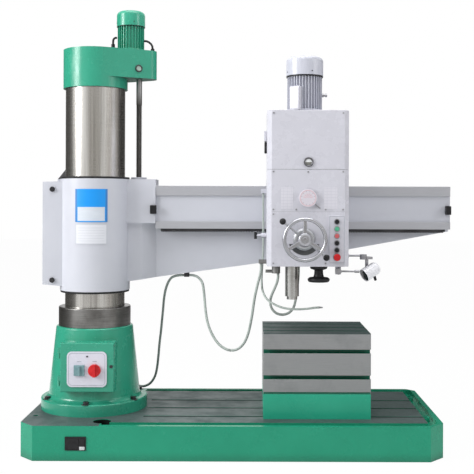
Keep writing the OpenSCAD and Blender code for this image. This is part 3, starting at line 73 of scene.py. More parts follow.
class Wire:
    """An output of a finish's node tree, which Python's own signs work on."""

    def __init__(self, tree, socket=None):
        self.tree, self.socket = tree, socket

    def add(self, kind, settings=None, links=None, out=0):
        node = self.tree.nodes.new(kind)
        for key, value in (settings or {}).items():
            setattr(node, key, value)
        for key, value in (links or {}).items():
            if isinstance(value, Wire):
                self.tree.links.new(value.socket, node.inputs[key])
            else:
                node.inputs[key].default_value = value
        return Wire(self.tree, node.outputs[out])

    def sum(self, operation, a, b=0.0):
        return self.add("ShaderNodeMath", {"operation": operation}, {0: a, 1: b})

    def __add__(self, other): return self.sum("ADD", self, other)
    def __radd__(self, other): return self.sum("ADD", other, self)
    def __sub__(self, other): return self.sum("SUBTRACT", self, other)
    def __rsub__(self, other): return self.sum("SUBTRACT", other, self)
    def __mul__(self, other): return self.sum("MULTIPLY", self, other)
    def __rmul__(self, other): return self.sum("MULTIPLY", other, self)
    def __gt__(self, other): return self.sum("GREATER_THAN", self, other)
    def __lt__(self, other): return self.sum("LESS_THAN", self, other)
    def __or__(self, other): return self.sum("MAXIMUM", self, other)
    def __abs__(self): return self.sum("ABSOLUTE", self)

    def colour(self, share, a, b):
        links = {0: share, 6: a, 7: b}
        return self.add("ShaderNodeMix", {"data_type": "RGBA"}, links, out=2)

    def noise(self, where, scale, detail=3.0, rough=0.5):
        return self.add("ShaderNodeTexNoise", None,
                        {"Vector": where, "Scale": scale, "Detail": detail, "Roughness": rough})

    def stretched(self, where, scale):
        return self.add("ShaderNodeMapping", None, {"Vector": where, "Scale": scale})

    def band(self, value, low, high):
        return self.add("ShaderNodeMapRange", {"clamp": True},
                        {"Value": value, "From Min": low, "From Max": high})

    def bump(self, height, strength, distance):
        return self.add("ShaderNodeBump", None, {"Height": height, "Strength": strength, "Distance": distance})

    def parts(self):
        return [self.add("ShaderNodeSeparateXYZ", None, {0: self}, out=i) for i in range(3)]

    def surface(self, share, a, b):
        mixed = self.add("ShaderNodeMixShader", None, {0: share, 1: a, 2: b})
        self.tree.links.new(mixed.socket, self.tree.nodes["Material Output"].inputs["Surface"])


def seen(red, green, blue):
    """A colour as it is read off a picture, turned into light."""
    def light(c):
        c = c / 255
        return c / 12.92 if c < 0.04045 else ((c + 0.055) / 1.055) ** 2.4
    return (light(red), light(green), light(blue), 1.0)


def finish(name, **fixed):
    """A new material: the start of its wiring, its object coordinates and its shader."""
    material = bpy.data.materials.new(name)
    material.use_nodes = True
    skin = material.node_tree.nodes["Principled BSDF"]
    for key, value in fixed.items():
        skin.inputs[key.replace("_", " ").title().replace("Ior", "IOR")].default_value = value
    wire = Wire(material.node_tree)
    where = wire.add("ShaderNodeTexCoord", out="Object")

    def feed(**inputs):
        for key, value in inputs.items():
            wire.tree.links.new(value.socket, skin.inputs[key.replace("_", " ").title()])
    return material, wire, where, feed


# The floor is a sheet of white paper on which the machine keeps a soft shadow. It shines to the camera and to
# polished steel, so that both see a white room, and it lights nothing else.
def white_room(tree, share):
    wire = Wire(tree)
    rays = {n: wire.add("ShaderNodeLightPath", out=n) for n in
            ("Is Camera Ray", "Is Glossy Ray", "Is Transmission Ray")}
    any_ray = rays["Is Camera Ray"] + rays["Is Glossy Ray"] + rays["Is Transmission Ray"]
    return wire, wire.sum("MINIMUM", any_ray, 1.0) * share


paper = bpy.data.materials.new("floor_paper")
paper.use_nodes = True
wire, share = white_room(paper.node_tree, 0.98)
matt = wire.add("ShaderNodeBsdfDiffuse", None, {"Color": (0.88, 0.88, 0.88, 1)})
shine = wire.add("ShaderNodeEmission", None, {"Color": (1, 1, 1, 1), "Strength": 1.0})
wire.surface(share, matt, shine)
bm = bmesh.new()
bmesh.ops.create_grid(bm, x_segments=1, y_segments=1, size=30.0)
floor_mesh = bpy.data.meshes.new("floor")
bm.to_mesh(floor_mesh)
bm.free()
floor = stand("floor", floor_mesh)
floor.data.materials.append(paper)

world = bpy.data.worlds.new("room")
world.use_nodes = True
bpy.context.scene.world = world
wire, share = white_room(world.node_tree, 1.0)
sky = world.node_tree.nodes["Background"]
sky.inputs["Color"].default_value = (1, 1, 1, 1)
wire.tree.links.new((share * 0.68 + 0.32).socket, sky.inputs["Strength"])


def soft_light(name, place, target, size, power):
    data = bpy.data.lights.new(name, "AREA")
    data.shape, data.size, data.size_y, data.energy = "RECTANGLE", size[0], size[1], power
    lamp = stand(name, data)
    lamp.location = place
    lamp.rotation_euler = (Vector(target) - Vector(place)).to_track_quat("-Z", "Y").to_euler()


soft_light("window_left", (-6.4, -3.2, 4.2), (0.9, 0, 1.3), (3.4, 4.0), 600)
soft_light("window_right", (6.6, -2.6, 3.2), (1.2, 0, 1.2), (2.0, 2.6), 110)
soft_light("ceiling", (0.9, -0.9, 5.2), (0.9, 0, 0), (4.0, 3.0), 140)

# Dark boards stand at each side, with paler ones on the right and behind the camera, as set for polished steel.
# Only reflections show them: the camera, the light and the shadows pass through.
for name, tone, (x0, y0), (x1, y1), height in (
        ("board_left", seen(88, 87, 85), (-2.6, -1.2), (-1.7, 3.4), 3.4),
        ("board_right", seen(80, 79, 78), (4.4, 1.2), (1.2, 6.0), 3.4),
        ("board_side", seen(186, 182, 178), (4.4, -3.4), (4.4, 1.2), 3.4),
        ("board_front", seen(190, 187, 182), (-2.6, -8.0), (4.6, -8.0), 3.6)):
    felt = bpy.data.materials.new(name + "_felt")
    felt.use_nodes = True
    wire = Wire(felt.node_tree)
    glossy = wire.add("ShaderNodeLightPath", out="Is Glossy Ray")
    clear = wire.add("ShaderNodeBsdfTransparent")
    cloth = wire.add("ShaderNodeEmission", None, {"Color": tone, "Strength": 1.0})
    wire.surface(glossy, clear, cloth)
    mesh = bpy.data.meshes.new(name)
    corners = ((x0, y0, 0), (x0, y0, height), (x1, y1, height), (x1, y1, 0))
    mesh.from_pydata(corners, [], [(0, 1, 2, 3)])
    mesh.materials.append(felt)
    stand(name, mesh)


# Supply, nozzle and drain hoses: grey rubber hose drawn on barbed fittings. They hang under their own weight
# from the pump behind the base up to a clip under the arm, and from there in a loop to the head.
def smooth_route(points, step=0.018):
    """A smooth line through given points (mm), as points in metres about a step apart."""
    p = [Vector(q) / 1000 for q in points]
    p = [2 * p[0] - p[1]] + p + [2 * p[-1] - p[-2]]
    line = []
    for a, b, c, d in zip(p, p[1:], p[2:], p[3:]):
        count = max(2, round((c - b).length / step))
        for i in range(count):
            t = i / count
            line.append(0.5 * (2 * b + (c - a) * t + (2 * a - 5 * b + 4 * c - d) * t ** 2
                               + (3 * b - a - 3 * c + d) * t ** 3))
    line.append(p[-2])
    return line


def pipe(name, line, diameter):
    """A round tube along a line, closed at both ends, as a mesh."""
    curve = bpy.data.curves.new(name, "CURVE")
    curve.dimensions, curve.bevel_depth, curve.bevel_resolution = "3D", diameter / 2, 3
    curve.use_fill_caps = True
    spline = curve.splines.new("POLY")
    spline.points.add(len(line) - 1)
    for point, place in zip(spline.points, line):
        point.co = (*place, 1)
    shape = stand(name + "_line", curve)
    bpy.context.view_layer.update()
    mesh = bpy.data.meshes.new_from_object(shape.evaluated_get(bpy.context.evaluated_depsgraph_get()))
    bpy.data.objects.remove(shape)
    mesh.name = name
    bm = bmesh.new()
    bm.from_mesh(mesh)
    bmesh.ops.remove_doubles(bm, verts=bm.verts, dist=1e-6)
    bmesh.ops.recalc_face_normals(bm, faces=bm.faces)
    bm.to_mesh(mesh)
    bm.free()
    mesh.materials.clear()
    mesh.shade_smooth()
    return stand(name, mesh)


hose_rubber, wire, where, feed = finish("hose_rubber")
dust = wire.noise(where, 60.0)
feed(base_color=wire.colour(dust, seen(140, 150, 145), seen(182, 191, 186)), roughness=0.45 + 0.25 * dust,
     normal=wire.bump(wire.noise(where, 900.0), 0.12, 0.0006))

hose_d, nozzle_d = 0.015, 0.012
low_route = [
    (138, 410, 235), (160, 410, 235), (195, 396, 232), (228, 370, 230), (262, 340, 238), (298, 318, 262),
    (326, 304, 306), (340, 292, 360), (349, 281, 430), (358, 268, 520), (368, 257, 600), (376, 240, 670)]
high_route = [
    (376, 240, 670), (384, 223, 740), (391, 199, 800), (401, 170, 850), (414, 136, 890), (430, 98, 922),
    (449, 58, 946), (467, 36, 957), (488, 24, 963), (510, 20, 966), (530, 20, 966)]
loop_route = [
    (560, 20, 966), (576, 20, 966), (604, 17, 959), (628, 9, 940), (642, -2, 914), (650, -18, 868),
    (656, -40, 818), (664, -66, 755), (678, -88, 690), (704, -106, 630), (744, -122, 575), (796, -140, 546),
    (848, -154, 550), (888, -166, 586), (914, -177, 645), (934, -190, 740), (950, -200, 850), (967, -207, 930),
    (981, -211, 985), (987, -212, 1020), (987, -212, 1052)]
nozzle_route = [
    (1000, -128, 1456), (1000, -128, 1420), (1000, -128, 1360), (1000, -128, 1290), (1000, -128, 1220),
    (1000, -129, 1150), (998, -133, 1080), (993, -146, 1010), (991, -170, 945), (998, -202, 890),
    (1022, -238, 850), (1060, -268, 826), (1104, -288, 810), (1150, -300, 803), (1204, -305, 802),
    (1256, -304, 806), (1284, -303, 810), (1310, -302, 812)]
drain_route = [
    (1084, -225, 998), (1084, -225, 976), (1078, -221, 944), (1063, -214, 906), (1047, -208, 868),
    (1040, -202, 828), (1050, -196, 792), (1076, -188, 765), (1112, -180, 756), (1148, -172, 765),
    (1174, -165, 792), (1186, -160, 830), (1196, -155, 890), (1203, -151, 960), (1205, -150, 1005),
    (1205, -150, 1034)]


def hose(name, node, line, diameter, bodies):
    """A hose along a line. On one body it rides on that body; between two bodies it stays where it is drawn and
    rides on neither.
    """
    piece = pipe(name, line, diameter)
    piece.data.materials.append(hose_rubber)
    length = sum((b - a).length for a, b in zip(line, line[1:]))
    if len(bodies) == 2:
        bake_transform(piece)
    else:
        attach(piece, bodies[0])
    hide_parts(node)


hose("supply_hose_lower", "supply_hose_low", smooth_route(low_route), hose_d, ("base", "column"))
hose("supply_hose_upper", "supply_hose_high", smooth_route(high_route), hose_d, ("column", "arm"))
loop_line = smooth_route(loop_route)
lowest = min(range(len(loop_line)), key=lambda i: loop_line[i].z)
hose("supply_hose_drop", "supply_loop", loop_line[:lowest + 1], hose_d, ("arm",))
hose("supply_hose_rise", "supply_loop", loop_line[lowest:], hose_d, ("arm", "head"))


def rounded(bm, edges, width, segments):
    """Rounds off some edges of a bmesh (mm)."""
    bmesh.ops.bevel(bm, geom=edges, offset=width / 1000, offset_type="OFFSET", affect="EDGES", segments=segments,
                    profile=0.5, material=-1, clamp_overlap=True)


def moved(bm, turn=None, place=(0, 0, 0)):
    """Turns a bmesh about the origin and then moves it (m)."""
    if turn is not None:
        bmesh.ops.rotate(bm, cent=(0, 0, 0), matrix=turn, verts=bm.verts)
    bmesh.ops.translate(bm, vec=place, verts=bm.verts)
    return bm


def about(axis, degrees):
    """A turn about one of the frame's axes."""
    return Matrix.Rotation(math.radians(degrees), 3, axis)


bm = bmesh.new()
bmesh.ops.create_cone(bm, cap_ends=True, segments=24, radius1=nozzle_d / 2, radius2=0.0034, depth=2 * nozzle_d)
rounded(bm, [e for e in bm.edges if abs(e.verts[0].co.z - e.verts[1].co.z) < 1e-6], 0.8, 2)
moved(bm, about("Y", 90), Vector(nozzle_route[-1]) / 1000 + Vector((nozzle_d, 0, 0)))
nozzle_mesh = bpy.data.meshes.new("coolant_nozzle")
bm.to_mesh(nozzle_mesh)
bm.free()
nozzle_mesh.shade_smooth()
nozzle_mesh.set_sharp_from_angle(angle=math.radians(40))
nozzle = stand("coolant_nozzle", nozzle_mesh)
nozzle_steel, wire, where, feed = finish("nozzle_steel", metallic=1.0)
scratch = wire.noise(wire.stretched(where, (200.0, 20.0, 20.0)), 5.0, 4.0)
feed(base_color=wire.colour(scratch, seen(120, 122, 124), seen(168, 170, 172)), roughness=0.3 + 0.2 * scratch)
nozzle_mesh.materials.append(nozzle_steel)
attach(nozzle, "head")
hose("nozzle_line", "nozzle_hose", smooth_route(nozzle_route), nozzle_d, ("head",))
hose("drain_line", "loop_hose", smooth_route(drain_route), hose_d, ("head",))

# Base: one long ribbed iron casting on the floor. Its sides and gutter are enamelled green, and its top is planed
# bare with three T-slots that run from the pedestal to the gutter at the far end.
def made(name, bm, material, body, slot, *nodes, sharp=38.0):
    """Turns a bmesh into a piece that rides on a body and stands for some CAD nodes."""
    mesh = bpy.data.meshes.new(name)
    bm.to_mesh(mesh)
    bm.free()
    mesh.shade_smooth()
    mesh.set_sharp_from_angle(angle=math.radians(sharp))
    mesh.materials.append(material)
    piece = stand(name, mesh)
    even = piece.modifiers.new("even_shading", "WEIGHTED_NORMAL")
    even.keep_sharp = True
    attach(piece, body)
    if nodes:
        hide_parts(*nodes)
    return piece


def eased(node, width, segments=2, seam=28.0):
    """A copy of a CAD node's solid with its sharp edges rounded off (mm)."""
    bm = bmesh.new()
    bm.from_mesh(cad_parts[node].data)
    bmesh.ops.remove_doubles(bm, verts=bm.verts, dist=2e-6)
    bmesh.ops.dissolve_limit(bm, angle_limit=math.radians(0.5), verts=bm.verts, edges=bm.edges)
    sharp = [e for e in bm.edges if len(e.link_faces) == 2 and e.calc_face_angle(0.0) > math.radians(seam)]
    rounded(bm, sharp, width, segments)
    return bm


green, green_deep = seen(40, 152, 120), seen(30, 136, 106)
planed, planed_dark = seen(92, 106, 105), seen(66, 80, 79)


def enamel_coat(wire, where, light, deep):
    """Brushed-on gloss enamel: cloudy colour, a fine peel, and a duller film of oil here and there."""
    cloud = wire.noise(where, 5.0, 5.0, 0.6)
    peel = wire.noise(where, 240.0, 2.0)
    film = wire.band(wire.noise(where, 11.0, 6.0, 0.65), 0.45, 0.75)
    return wire.colour(cloud, deep, light), 0.2 + 0.18 * film, peel + 0.2 * wire.noise(where, 35.0)


base_finish, wire, where, feed = finish("base_enamel_and_planed_top", specular_ior_level=0.22)
x, y, z = where.parts()
up = wire.add("ShaderNodeTexCoord", out="Normal").parts()[2]
top, middle = 0.1885, 0.8165
paint, paint_rough, peel = enamel_coat(wire, where, green, green_deep)
rim = ((abs(y) > 0.4165) * (x > 0.108)) | (x > 1.9065)
bare = (up > 0.7) * (z > top) * (1 - rim)
slot_inside = (z > 0.12) * (z < top) * (abs(y + 0.06) < 0.235) * (x > 0.3) * (x < 1.906)
sump = ((x - 0.11) * (x - 0.11) + (y + 0.392) * (y + 0.392)) < 0.00255
along, aside = abs(x - middle) - 1.1035, abs(y) - 0.265
anchor = (along * along + aside * aside) < 0.00021
# Painted shade: the walls of the drain hole and the anchor holes below the top are coloured nearly black.
hole = (sump | anchor) * (z < 0.187)
cut_lines = wire.noise(wire.stretched(where, (3.0, 160.0, 1.0)), 6.0, 4.0)
stain = wire.band(wire.noise(where, 6.0, 6.0, 0.6), 0.42, 0.7)
iron = wire.colour(0.55 * cut_lines + 0.45 * stain, planed, planed_dark)
sheet = wire.colour(bare, paint, iron)
# Painted shade near the floor: the lowest 5 cm of the base are mixed toward a dark green-grey.
clear_of_floor_shade = wire.band(z, 0.0, 0.05)
sheet = wire.colour(clear_of_floor_shade, wire.colour(0.35, sheet, seen(40, 60, 52)), sheet)
feed(base_color=wire.colour(hole, wire.colour(slot_inside, sheet, seen(70, 72, 72)), seen(24, 30, 28)),
     roughness=paint_rough + bare * (0.2 + 0.2 * stain), metallic=bare * 0.35,
     normal=wire.bump(peel * (1 - bare) + cut_lines * bare, 0.12, 0.0012))
made("base", eased("base_casting", 6.0, 3), base_finish, "base", "green_paint", "base_casting")


# Plate on the base's front face: a black moulded socket cover with a pale blank field in one corner; its two
# screws are not drawn.
def slab(low, high, soft=0.0, segments=2, keep=None):
    """A block between two corners (mm) with its edges rounded off, or only those along one axis."""
    bm = bmesh.new()
    low, high = Vector(low) / 1000, Vector(high) / 1000
    bmesh.ops.create_cube(bm, size=1.0)
    bmesh.ops.scale(bm, vec=high - low, verts=bm.verts)
    bmesh.ops.translate(bm, vec=(low + high) / 2, verts=bm.verts)
    if soft:
        edges = [e for e in bm.edges if keep is None
                 or abs((e.verts[0].co - e.verts[1].co).normalized()["XYZ".index(keep)]) > 0.9]
        rounded(bm, edges, soft, segments)
    return bm


def joined(*parts):
    """Several bmeshes as one."""
    whole = bmesh.new()
    for part in parts:
        mesh = bpy.data.meshes.new("part")
        part.to_mesh(mesh)
        part.free()
        whole.from_mesh(mesh)
        bpy.data.meshes.remove(mesh)
    return whole


def turned(profile, place=(0, 0, 0), axis="Z", steps=64):
    """A turned body: rows are radius, height along the axis, and the rounding of that corner (mm)."""
    bm = bmesh.new()
    row = [bm.verts.new((r / 1000, 0, h / 1000)) for r, h, _ in profile]
    edges = [bm.edges.new(pair) for pair in zip(row, row[1:])]
    if profile[0][0] or profile[-1][0]:
        edges.append(bm.edges.new((row[-1], row[0])))
    bmesh.ops.spin(bm, geom=row + edges, cent=(0, 0, 0), axis=(0, 0, 1), angle=2 * math.pi, steps=steps,
                   use_merge=True)
    bmesh.ops.remove_doubles(bm, verts=bm.verts, dist=1e-6)
    bmesh.ops.recalc_face_normals(bm, faces=bm.faces)
    for r, h, soft in profile:
        if soft:
            rim = [e for e in bm.edges if all(abs(math.hypot(v.co.x, v.co.y) - r / 1000) < 1e-5
                                              and abs(v.co.z - h / 1000) < 1e-5 for v in e.verts)]
            rounded(bm, rim, soft, 4)
    turn = {"X": about("Y", 90), "Y": about("X", 90)}.get(axis)
    return moved(bm, turn, Vector(place) / 1000)


def moulding(name, light, deep, rough):
    """Moulded plastic: a faint grain, fingermarks that dull the gloss, and slightly uneven colour."""
    material, wire, where, feed = finish(name, specular_ior_level=0.25)
    marks = wire.band(wire.noise(where, 45.0, 4.0, 0.6), 0.4, 0.75)
    feed(base_color=wire.colour(marks, light, deep), roughness=rough + 0.18 * marks,
         normal=wire.bump(wire.noise(where, 1500.0, 2.0), 0.08, 0.0004))
    return material


black_moulding = moulding("black_moulding", seen(34, 34, 36), seen(20, 20, 22), 0.34)
pale_moulding = moulding("pale_moulding", seen(205, 208, 210), seen(176, 180, 182), 0.4)
low, high = [v * 1000 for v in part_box("front_plate")]
made("socket_plate", slab(low, high, 2.0), black_moulding, "base", "black_plastic", "front_plate")
made("socket_frame", joined(
    slab((low.x + 8, low.y - 2.5, low.z + 8), (high.x - 40, low.y + 1, high.z - 8), 1.2),
    slab((high.x - 36, low.y - 2.5, low.z + 26), (high.x - 7, low.y + 1, high.z - 8), 1.2)),
    black_moulding, "base", "black_plastic")
made("socket_field", slab((high.x - 36, low.y - 2.5, low.z + 4), (high.x - 7, low.y + 1, low.z + 22), 1.2),
     pale_moulding, "base", "black_plastic")

# Pedestal: a hollow iron cone with a bolting flange, turned and enamelled. Cast fillets run into the flange and
# round its top; six bolts in spot-faced seats hold it to the base.
def enamel(name, light, deep, rough=0.0):
    """Gloss enamel with painted shade on the faces that look down: they are coloured dark and made duller."""
    material, wire, where, feed = finish(name)
    colour, gloss, peel = enamel_coat(wire, where, light, deep)
    up = wire.add("ShaderNodeTexCoord", out="Normal").parts()[2]
    # Painted shade: faces that look down are mixed three quarters toward a dark grey-green.
    unshaded_share = wire.band(up, -0.95, -0.6)
    feed(base_color=wire.colour(unshaded_share, wire.colour(0.75, colour, seen(36, 40, 36)), colour),
         roughness=gloss + rough + 0.45 * (1 - unshaded_share), normal=wire.bump(peel, 0.10, 0.001))
    return material


green_enamel = enamel("green_enamel", seen(52, 158, 130), seen(42, 144, 116))
made("pedestal_cone", turned([
    (116, 190, 0), (311, 190, 0), (311, 258, 9), (268, 258, 24), (224, 675, 10), (116, 675, 0)], steps=128),
    green_enamel, "base", "green_paint", "pedestal", sharp=60)


def steel(name, light, deep, rough, grain=(1.0, 1.0, 60.0), scale=8.0, depth=0.1):
    """Cut or ground steel: streaks along the cut and a thin uneven film of oil."""
    material, wire, where, feed = finish(name, metallic=1.0)
    streak = wire.noise(wire.stretched(where, grain), scale, 5.0, 0.6)
    oil = wire.band(wire.noise(where, 9.0, 5.0, 0.6), 0.4, 0.75)
    feed(base_color=wire.colour(wire.band(0.7 * streak + 0.3 * oil, 0.3, 0.7), light, deep),
         roughness=rough + 0.12 * streak + 0.08 * oil, normal=wire.bump(streak, depth, 0.0006))
    return material


black_steel = steel("blackened_steel", seen(74, 74, 76), seen(40, 40, 42), 0.38, (20.0, 20.0, 20.0))
made("flange_bolts", eased("pedestal_bolts", 1.6), black_steel, "base", "dark_steel", "pedestal_bolts")
seats = []
for i in range(6):
    a = math.radians(i * 60 - 90)
    seats.append(turned([(18.2, 257.6, 0), (27, 257.6, 0), (27, 258.7, 0.5), (18.2, 258.7, 0)],
                        (287 * math.cos(a), 287 * math.sin(a), 0), steps=32))
spot_facing = steel("spot_facing", seen(96, 98, 98), seen(66, 68, 68), 0.5)
made("bolt_seats", joined(*seats), spot_facing, "base", "dark_steel")

# Switch box: sheet steel, let into the pedestal's front and enamelled with it. Its door hangs on two pins at the
# left and carries a white plate with the isolator and the pump switch.
made("switch_case", eased("switch_box", 2.5), green_enamel, "base", "green_paint", "switch_box")
left, right, front, foot, top = -143.5, 159.5, -300.0, 330.0, 607.0
leaf = slab((left, front, foot), (right, front + 13.7, top), 5.0, 3)
knuckles = [turned([(5.1, z + 0.3, 0), (8.7, z + 0.3, 0.8), (8.7, z + 29.7, 0.8), (5.1, z + 29.7, 0)],
                   (left - 9, front + 23, 0), steps=32) for z in (390, 547)]
straps = [slab((left - 13.5, front + 4, z + 0.3), (left + 2, front + 13.7, z + 29.7), 1.0) for z in (390, 547)]
made("door_leaf", joined(leaf, *knuckles, *straps), green_enamel, "door", "green_paint", "switch_door")
white_sheet = enamel("white_sheet", seen(214, 213, 224), seen(204, 204, 216))
plate_low, plate_high = Vector((-104, 0, 360.5)), Vector((120, 0, 559.5))
made("switch_plate", slab((plate_low.x, front - 6, plate_low.z), (plate_high.x, front, plate_high.z), 27, 8, "Y"),
     white_sheet, "door", "white_paint")


def frame_line(x0, x1, z0, z1, y0, y1, soft, wide):
    """A raised line that runs round a plate, with rounded corners."""
    outer = slab((x0, y0, z0), (x1, y1, z1), soft, 8, "Y")
    faces = [f for f in outer.faces if abs(f.normal.y) > 0.9]
    bmesh.ops.inset_region(outer, faces=faces, thickness=wide / 1000)
    inner = [f for f in outer.faces if abs(f.normal.y) > 0.9 and len(f.verts) > 8]
    bmesh.ops.bridge_loops(outer, edges=[e for f in inner for e in f.edges])
    bmesh.ops.delete(outer, geom=inner, context="FACES")
    return outer


grey_print = moulding("grey_print", seen(150, 156, 166), seen(136, 142, 152), 0.5)
made("plate_line", frame_line(plate_low.x + 9, plate_high.x - 9, plate_low.z + 9, plate_high.z - 9, front - 6.4,
                              front - 5.8, 20, 2.2), grey_print, "door", "white_paint")
red_moulding = moulding("red_moulding", seen(214, 44, 48), seen(184, 26, 32), 0.3)
teal_moulding = moulding("teal_moulding", seen(128, 160, 164), seen(96, 132, 138), 0.42)
made("isolator", eased("isolator_knob", 3.0, 3), red_moulding, "isolator", "red_plastic", "isolator_knob")
made("coolant_switch", eased("pump_switch", 2.5, 3), teal_moulding, "pump_switch", "teal_plastic", "pump_switch")
made("door_lock", joined(
    turned([(0, 0, 0), (9.5, 0, 0), (9.5, 3, 1), (0, 3, 0)], (144, front, 475), "Y", 32),
    turned([(0, 0, 0), (5, 0, 0), (5, 3, 0.8), (0, 3, 0)], (10, front - 6, 532), "Y", 24)),
    black_steel, "door", "dark_steel")
dash = [slab((x - 12, front - 6.5, z - 1.6), (x + 12, front - 5.8, z + 1.6), 0.3)
        for x, z in ((-34, 503), (52, 505))]
made("switch_marks", joined(*dash), grey_print, "door", "white_paint")

# Column: a thick steel tube ground bright all round, which turns on the inner column. A polished ring
# clamps it at its foot, and a key at its back keeps the arm straight.
column_steel, wire, where, feed = finish("ground_column", metallic=1.0)
rings = wire.noise(wire.stretched(where, (0.6, 0.6, 220.0)), 5.0, 4.0, 0.6)
runs = wire.noise(wire.stretched(where, (30.0, 30.0, 0.5)), 3.0, 5.0, 0.6)
film = wire.band(runs, 0.35, 0.7)
feed(base_color=wire.colour(0.65 * film + 0.35 * rings, seen(208, 206, 202), seen(150, 147, 142)),
     roughness=0.16 + 0.12 * rings + 0.08 * film, normal=wire.bump(rings, 0.04, 0.0004))


def coat(material, *nodes):
    """Gives CAD nodes that show as they are their finish."""
    for node in nodes:
        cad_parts[node].data.materials.clear()
        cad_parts[node].data.materials.append(material)


coat(column_steel, "outer_column", "inner_column", "column_bearings")
made("clamp_collar", turned([(175.2, 675.3, 0), (211, 675.3, 1.5), (211, 787.3, 7), (175.2, 787.3, 0)], steps=128),
     steel("turned_collar", seen(140, 139, 137), seen(92, 90, 88), 0.24, (1.0, 1.0, 90.0)), "column",
     "bright_steel", "clamp_ring")
coat(black_steel, "guide_key")

# Column cap: an iron hood over the column's top, with an arm that houses the lift gears over the lead screw.
# A glass oil plug sits on the arm's front, and cover screws go round its top.
made("cap_hood", eased("column_cap", 9.0, 4), green_enamel, "column", "green_paint", "column_cap", sharp=45)
plug_steel = steel("plug_steel", seen(176, 178, 178), seen(120, 122, 122), 0.26)
plug_glass = moulding("plug_glass", seen(172, 190, 180), seen(150, 168, 158), 0.3)
hood_r, nose_r, nose_x, plug_x = 189, 55, 308, 266
slope = math.asin((hood_r - nose_r) / nose_x)
wall_y = -(hood_r / math.cos(slope) - plug_x * math.tan(slope))
for name, row, material in (
        ("cap_plug", [(15, -8, 0), (21.5, -8, 0), (21.5, 7, 2), (15, 7, 0.8)], black_steel),
        ("cap_plug_eye", [(0, -8, 0), (15, -8, 0), (15, 4, 0), (0, 5.5, 0)], plug_glass)):
    plug = turned(row, (0, 0, 0), "Y", 40)
    moved(plug, Matrix.Rotation(slope, 3, "Z"), (plug_x / 1000, wall_y / 1000, 2.186))
    made(name, plug, material, "column", "dark_steel")
cap_screws = [turned([(0, 2294, 0), (6, 2294, 0), (6, 2301, 1.2), (3, 2301, 0), (3, 2298.5, 0), (0, 2298.5, 0)],
                     (165 * math.cos(t), 165 * math.sin(t), 0), steps=20)
              for t in [math.radians(v) for v in (110, 160, 200, 250)]]
made("cap_screws", joined(*cap_screws), black_steel, "column", "dark_steel")


# Lift motor: a small finned motor flanged to the cap, with a pressed fan cover on top. Its shaft drives the lead
# screw through a pair of gears, and black leads loop from its sides into glands on the cap.
def motor(place, r, h, cover_r, cover_h, fins, material, body, slot, node, name):
    """A finned motor under its fan cover, with the cover's screws and a black ring under the cover's rim as painted
    shade (mm).
    """
    foot = 0.88 * r
    fin_w = 0.05 * r
    ribs = []
    for i in range(fins):
        rib = slab((foot * 0.97, -fin_w / 2, h * 0.06), (r, fin_w / 2, h * 0.94), 0.8)
        ribs.append(moved(rib, Matrix.Rotation(math.tau * i / fins, 3, "Z")))
    shell = turned([(14.2, 0, 0), (r, 0, 0), (r, h * 0.07, 2), (foot, h * 0.07, 2), (foot, h * 0.93, 0),
                    (r, h * 0.93, 0), (r, h, 1), (14.2, h, 0)], steps=72)
    hood = turned([(0, h + 2, 0), (cover_r - 2, h + 2, 0), (cover_r - 2, h - 8, 0), (cover_r, h - 8, 0.8),
                   (cover_r, h + cover_h, 24), (0, h + cover_h, 0)], steps=72)
    screws = []
    for i in range(4):
        screw = turned([(0, 0, 0), (3.6, 0, 0), (3.6, 2.2, 0.8), (0, 2.2, 0)], axis="Y", steps=16)
        moved(screw, place=(0, -(cover_r - 0.4) / 1000, (h + 12) / 1000))
        screws.append(moved(screw, about("Z", -70 + 90 * i)))
    foot_point = Vector(place) / 1000
    made(name, moved(joined(shell, hood, *ribs), place=foot_point), material, body, slot, node)
    made(name + "_screws", moved(joined(*screws), place=foot_point), black_steel, body, "dark_steel")
    # Painted shade: a black ring fills the gap under the fan cover's rim.
    inner, outer, low, high = r * 0.9, cover_r - 0.6, h * 0.93, h - 8.2
    shade = turned([(inner, low, 0), (outer, low, 0), (outer, high, 0), (inner, high, 0)], place, steps=72)
    made(name + "_gap_shade", shade, black_moulding, body, "black_plastic")


motor((209, 0, 2298), 79, 153, 84, 82, 28, green_enamel, "column", "green_paint", "lift_motor", "lift_drive")
black_sleeve = moulding("black_sleeve", seen(36, 36, 38), seen(24, 24, 26), 0.5)
coat(black_sleeve, "lift_leads")
coat(plug_steel, "lift_rotor")

# Lead screw: a long steel screw with a right-hand trapezoid thread, hung from the cap beside the column and oiled
# dark. The arm's bronze nut climbs on it, and the thread ends in a bright plain shank under the cap.
pitch, screw_x, thread_foot, thread_top = 0.006, 0.259, 1.386, 1.980
thread, wire, where, feed = finish("oiled_thread", metallic=1.0)
x, y, z = where.parts()
turn = wire.sum("ARCTAN2", y, x - screw_x) * (1 / math.tau)
crest = wire.band(wire.sum("PINGPONG", z * (1 / pitch) - turn - 0.1, 0.5), 0.2, 0.3)
oil = wire.noise(wire.stretched(where, (12.0, 12.0, 3.0)), 6.0, 4.0)
polished = wire.band(z, thread_top, 2.06)
feed(base_color=wire.colour(polished, wire.colour(0.6 * crest + 0.4 * oil, seen(52, 50, 48), seen(104, 102, 100)),
                            seen(150, 150, 150)),
     roughness=0.3 + 0.25 * oil, normal=wire.bump(oil, 0.1, 0.0006))
turns, steps = 99, 24
flank = bmesh.new()
row = [flank.verts.new((r / 1000, 0, thread_foot + h / 1000)) for r, h in (
    (14, 0), (14, 1.6), (16.9, 2.4), (16.9, 4.8), (14, 5.6), (14, 6))]
edges = [flank.edges.new(pair) for pair in zip(row, row[1:])]
bmesh.ops.spin(flank, geom=row + edges, cent=(0, 0, 0), axis=(0, 0, 1), dvec=(0, 0, pitch / steps),
               angle=math.tau, steps=steps)
first_turn = flank.verts[:] + flank.edges[:] + flank.faces[:]
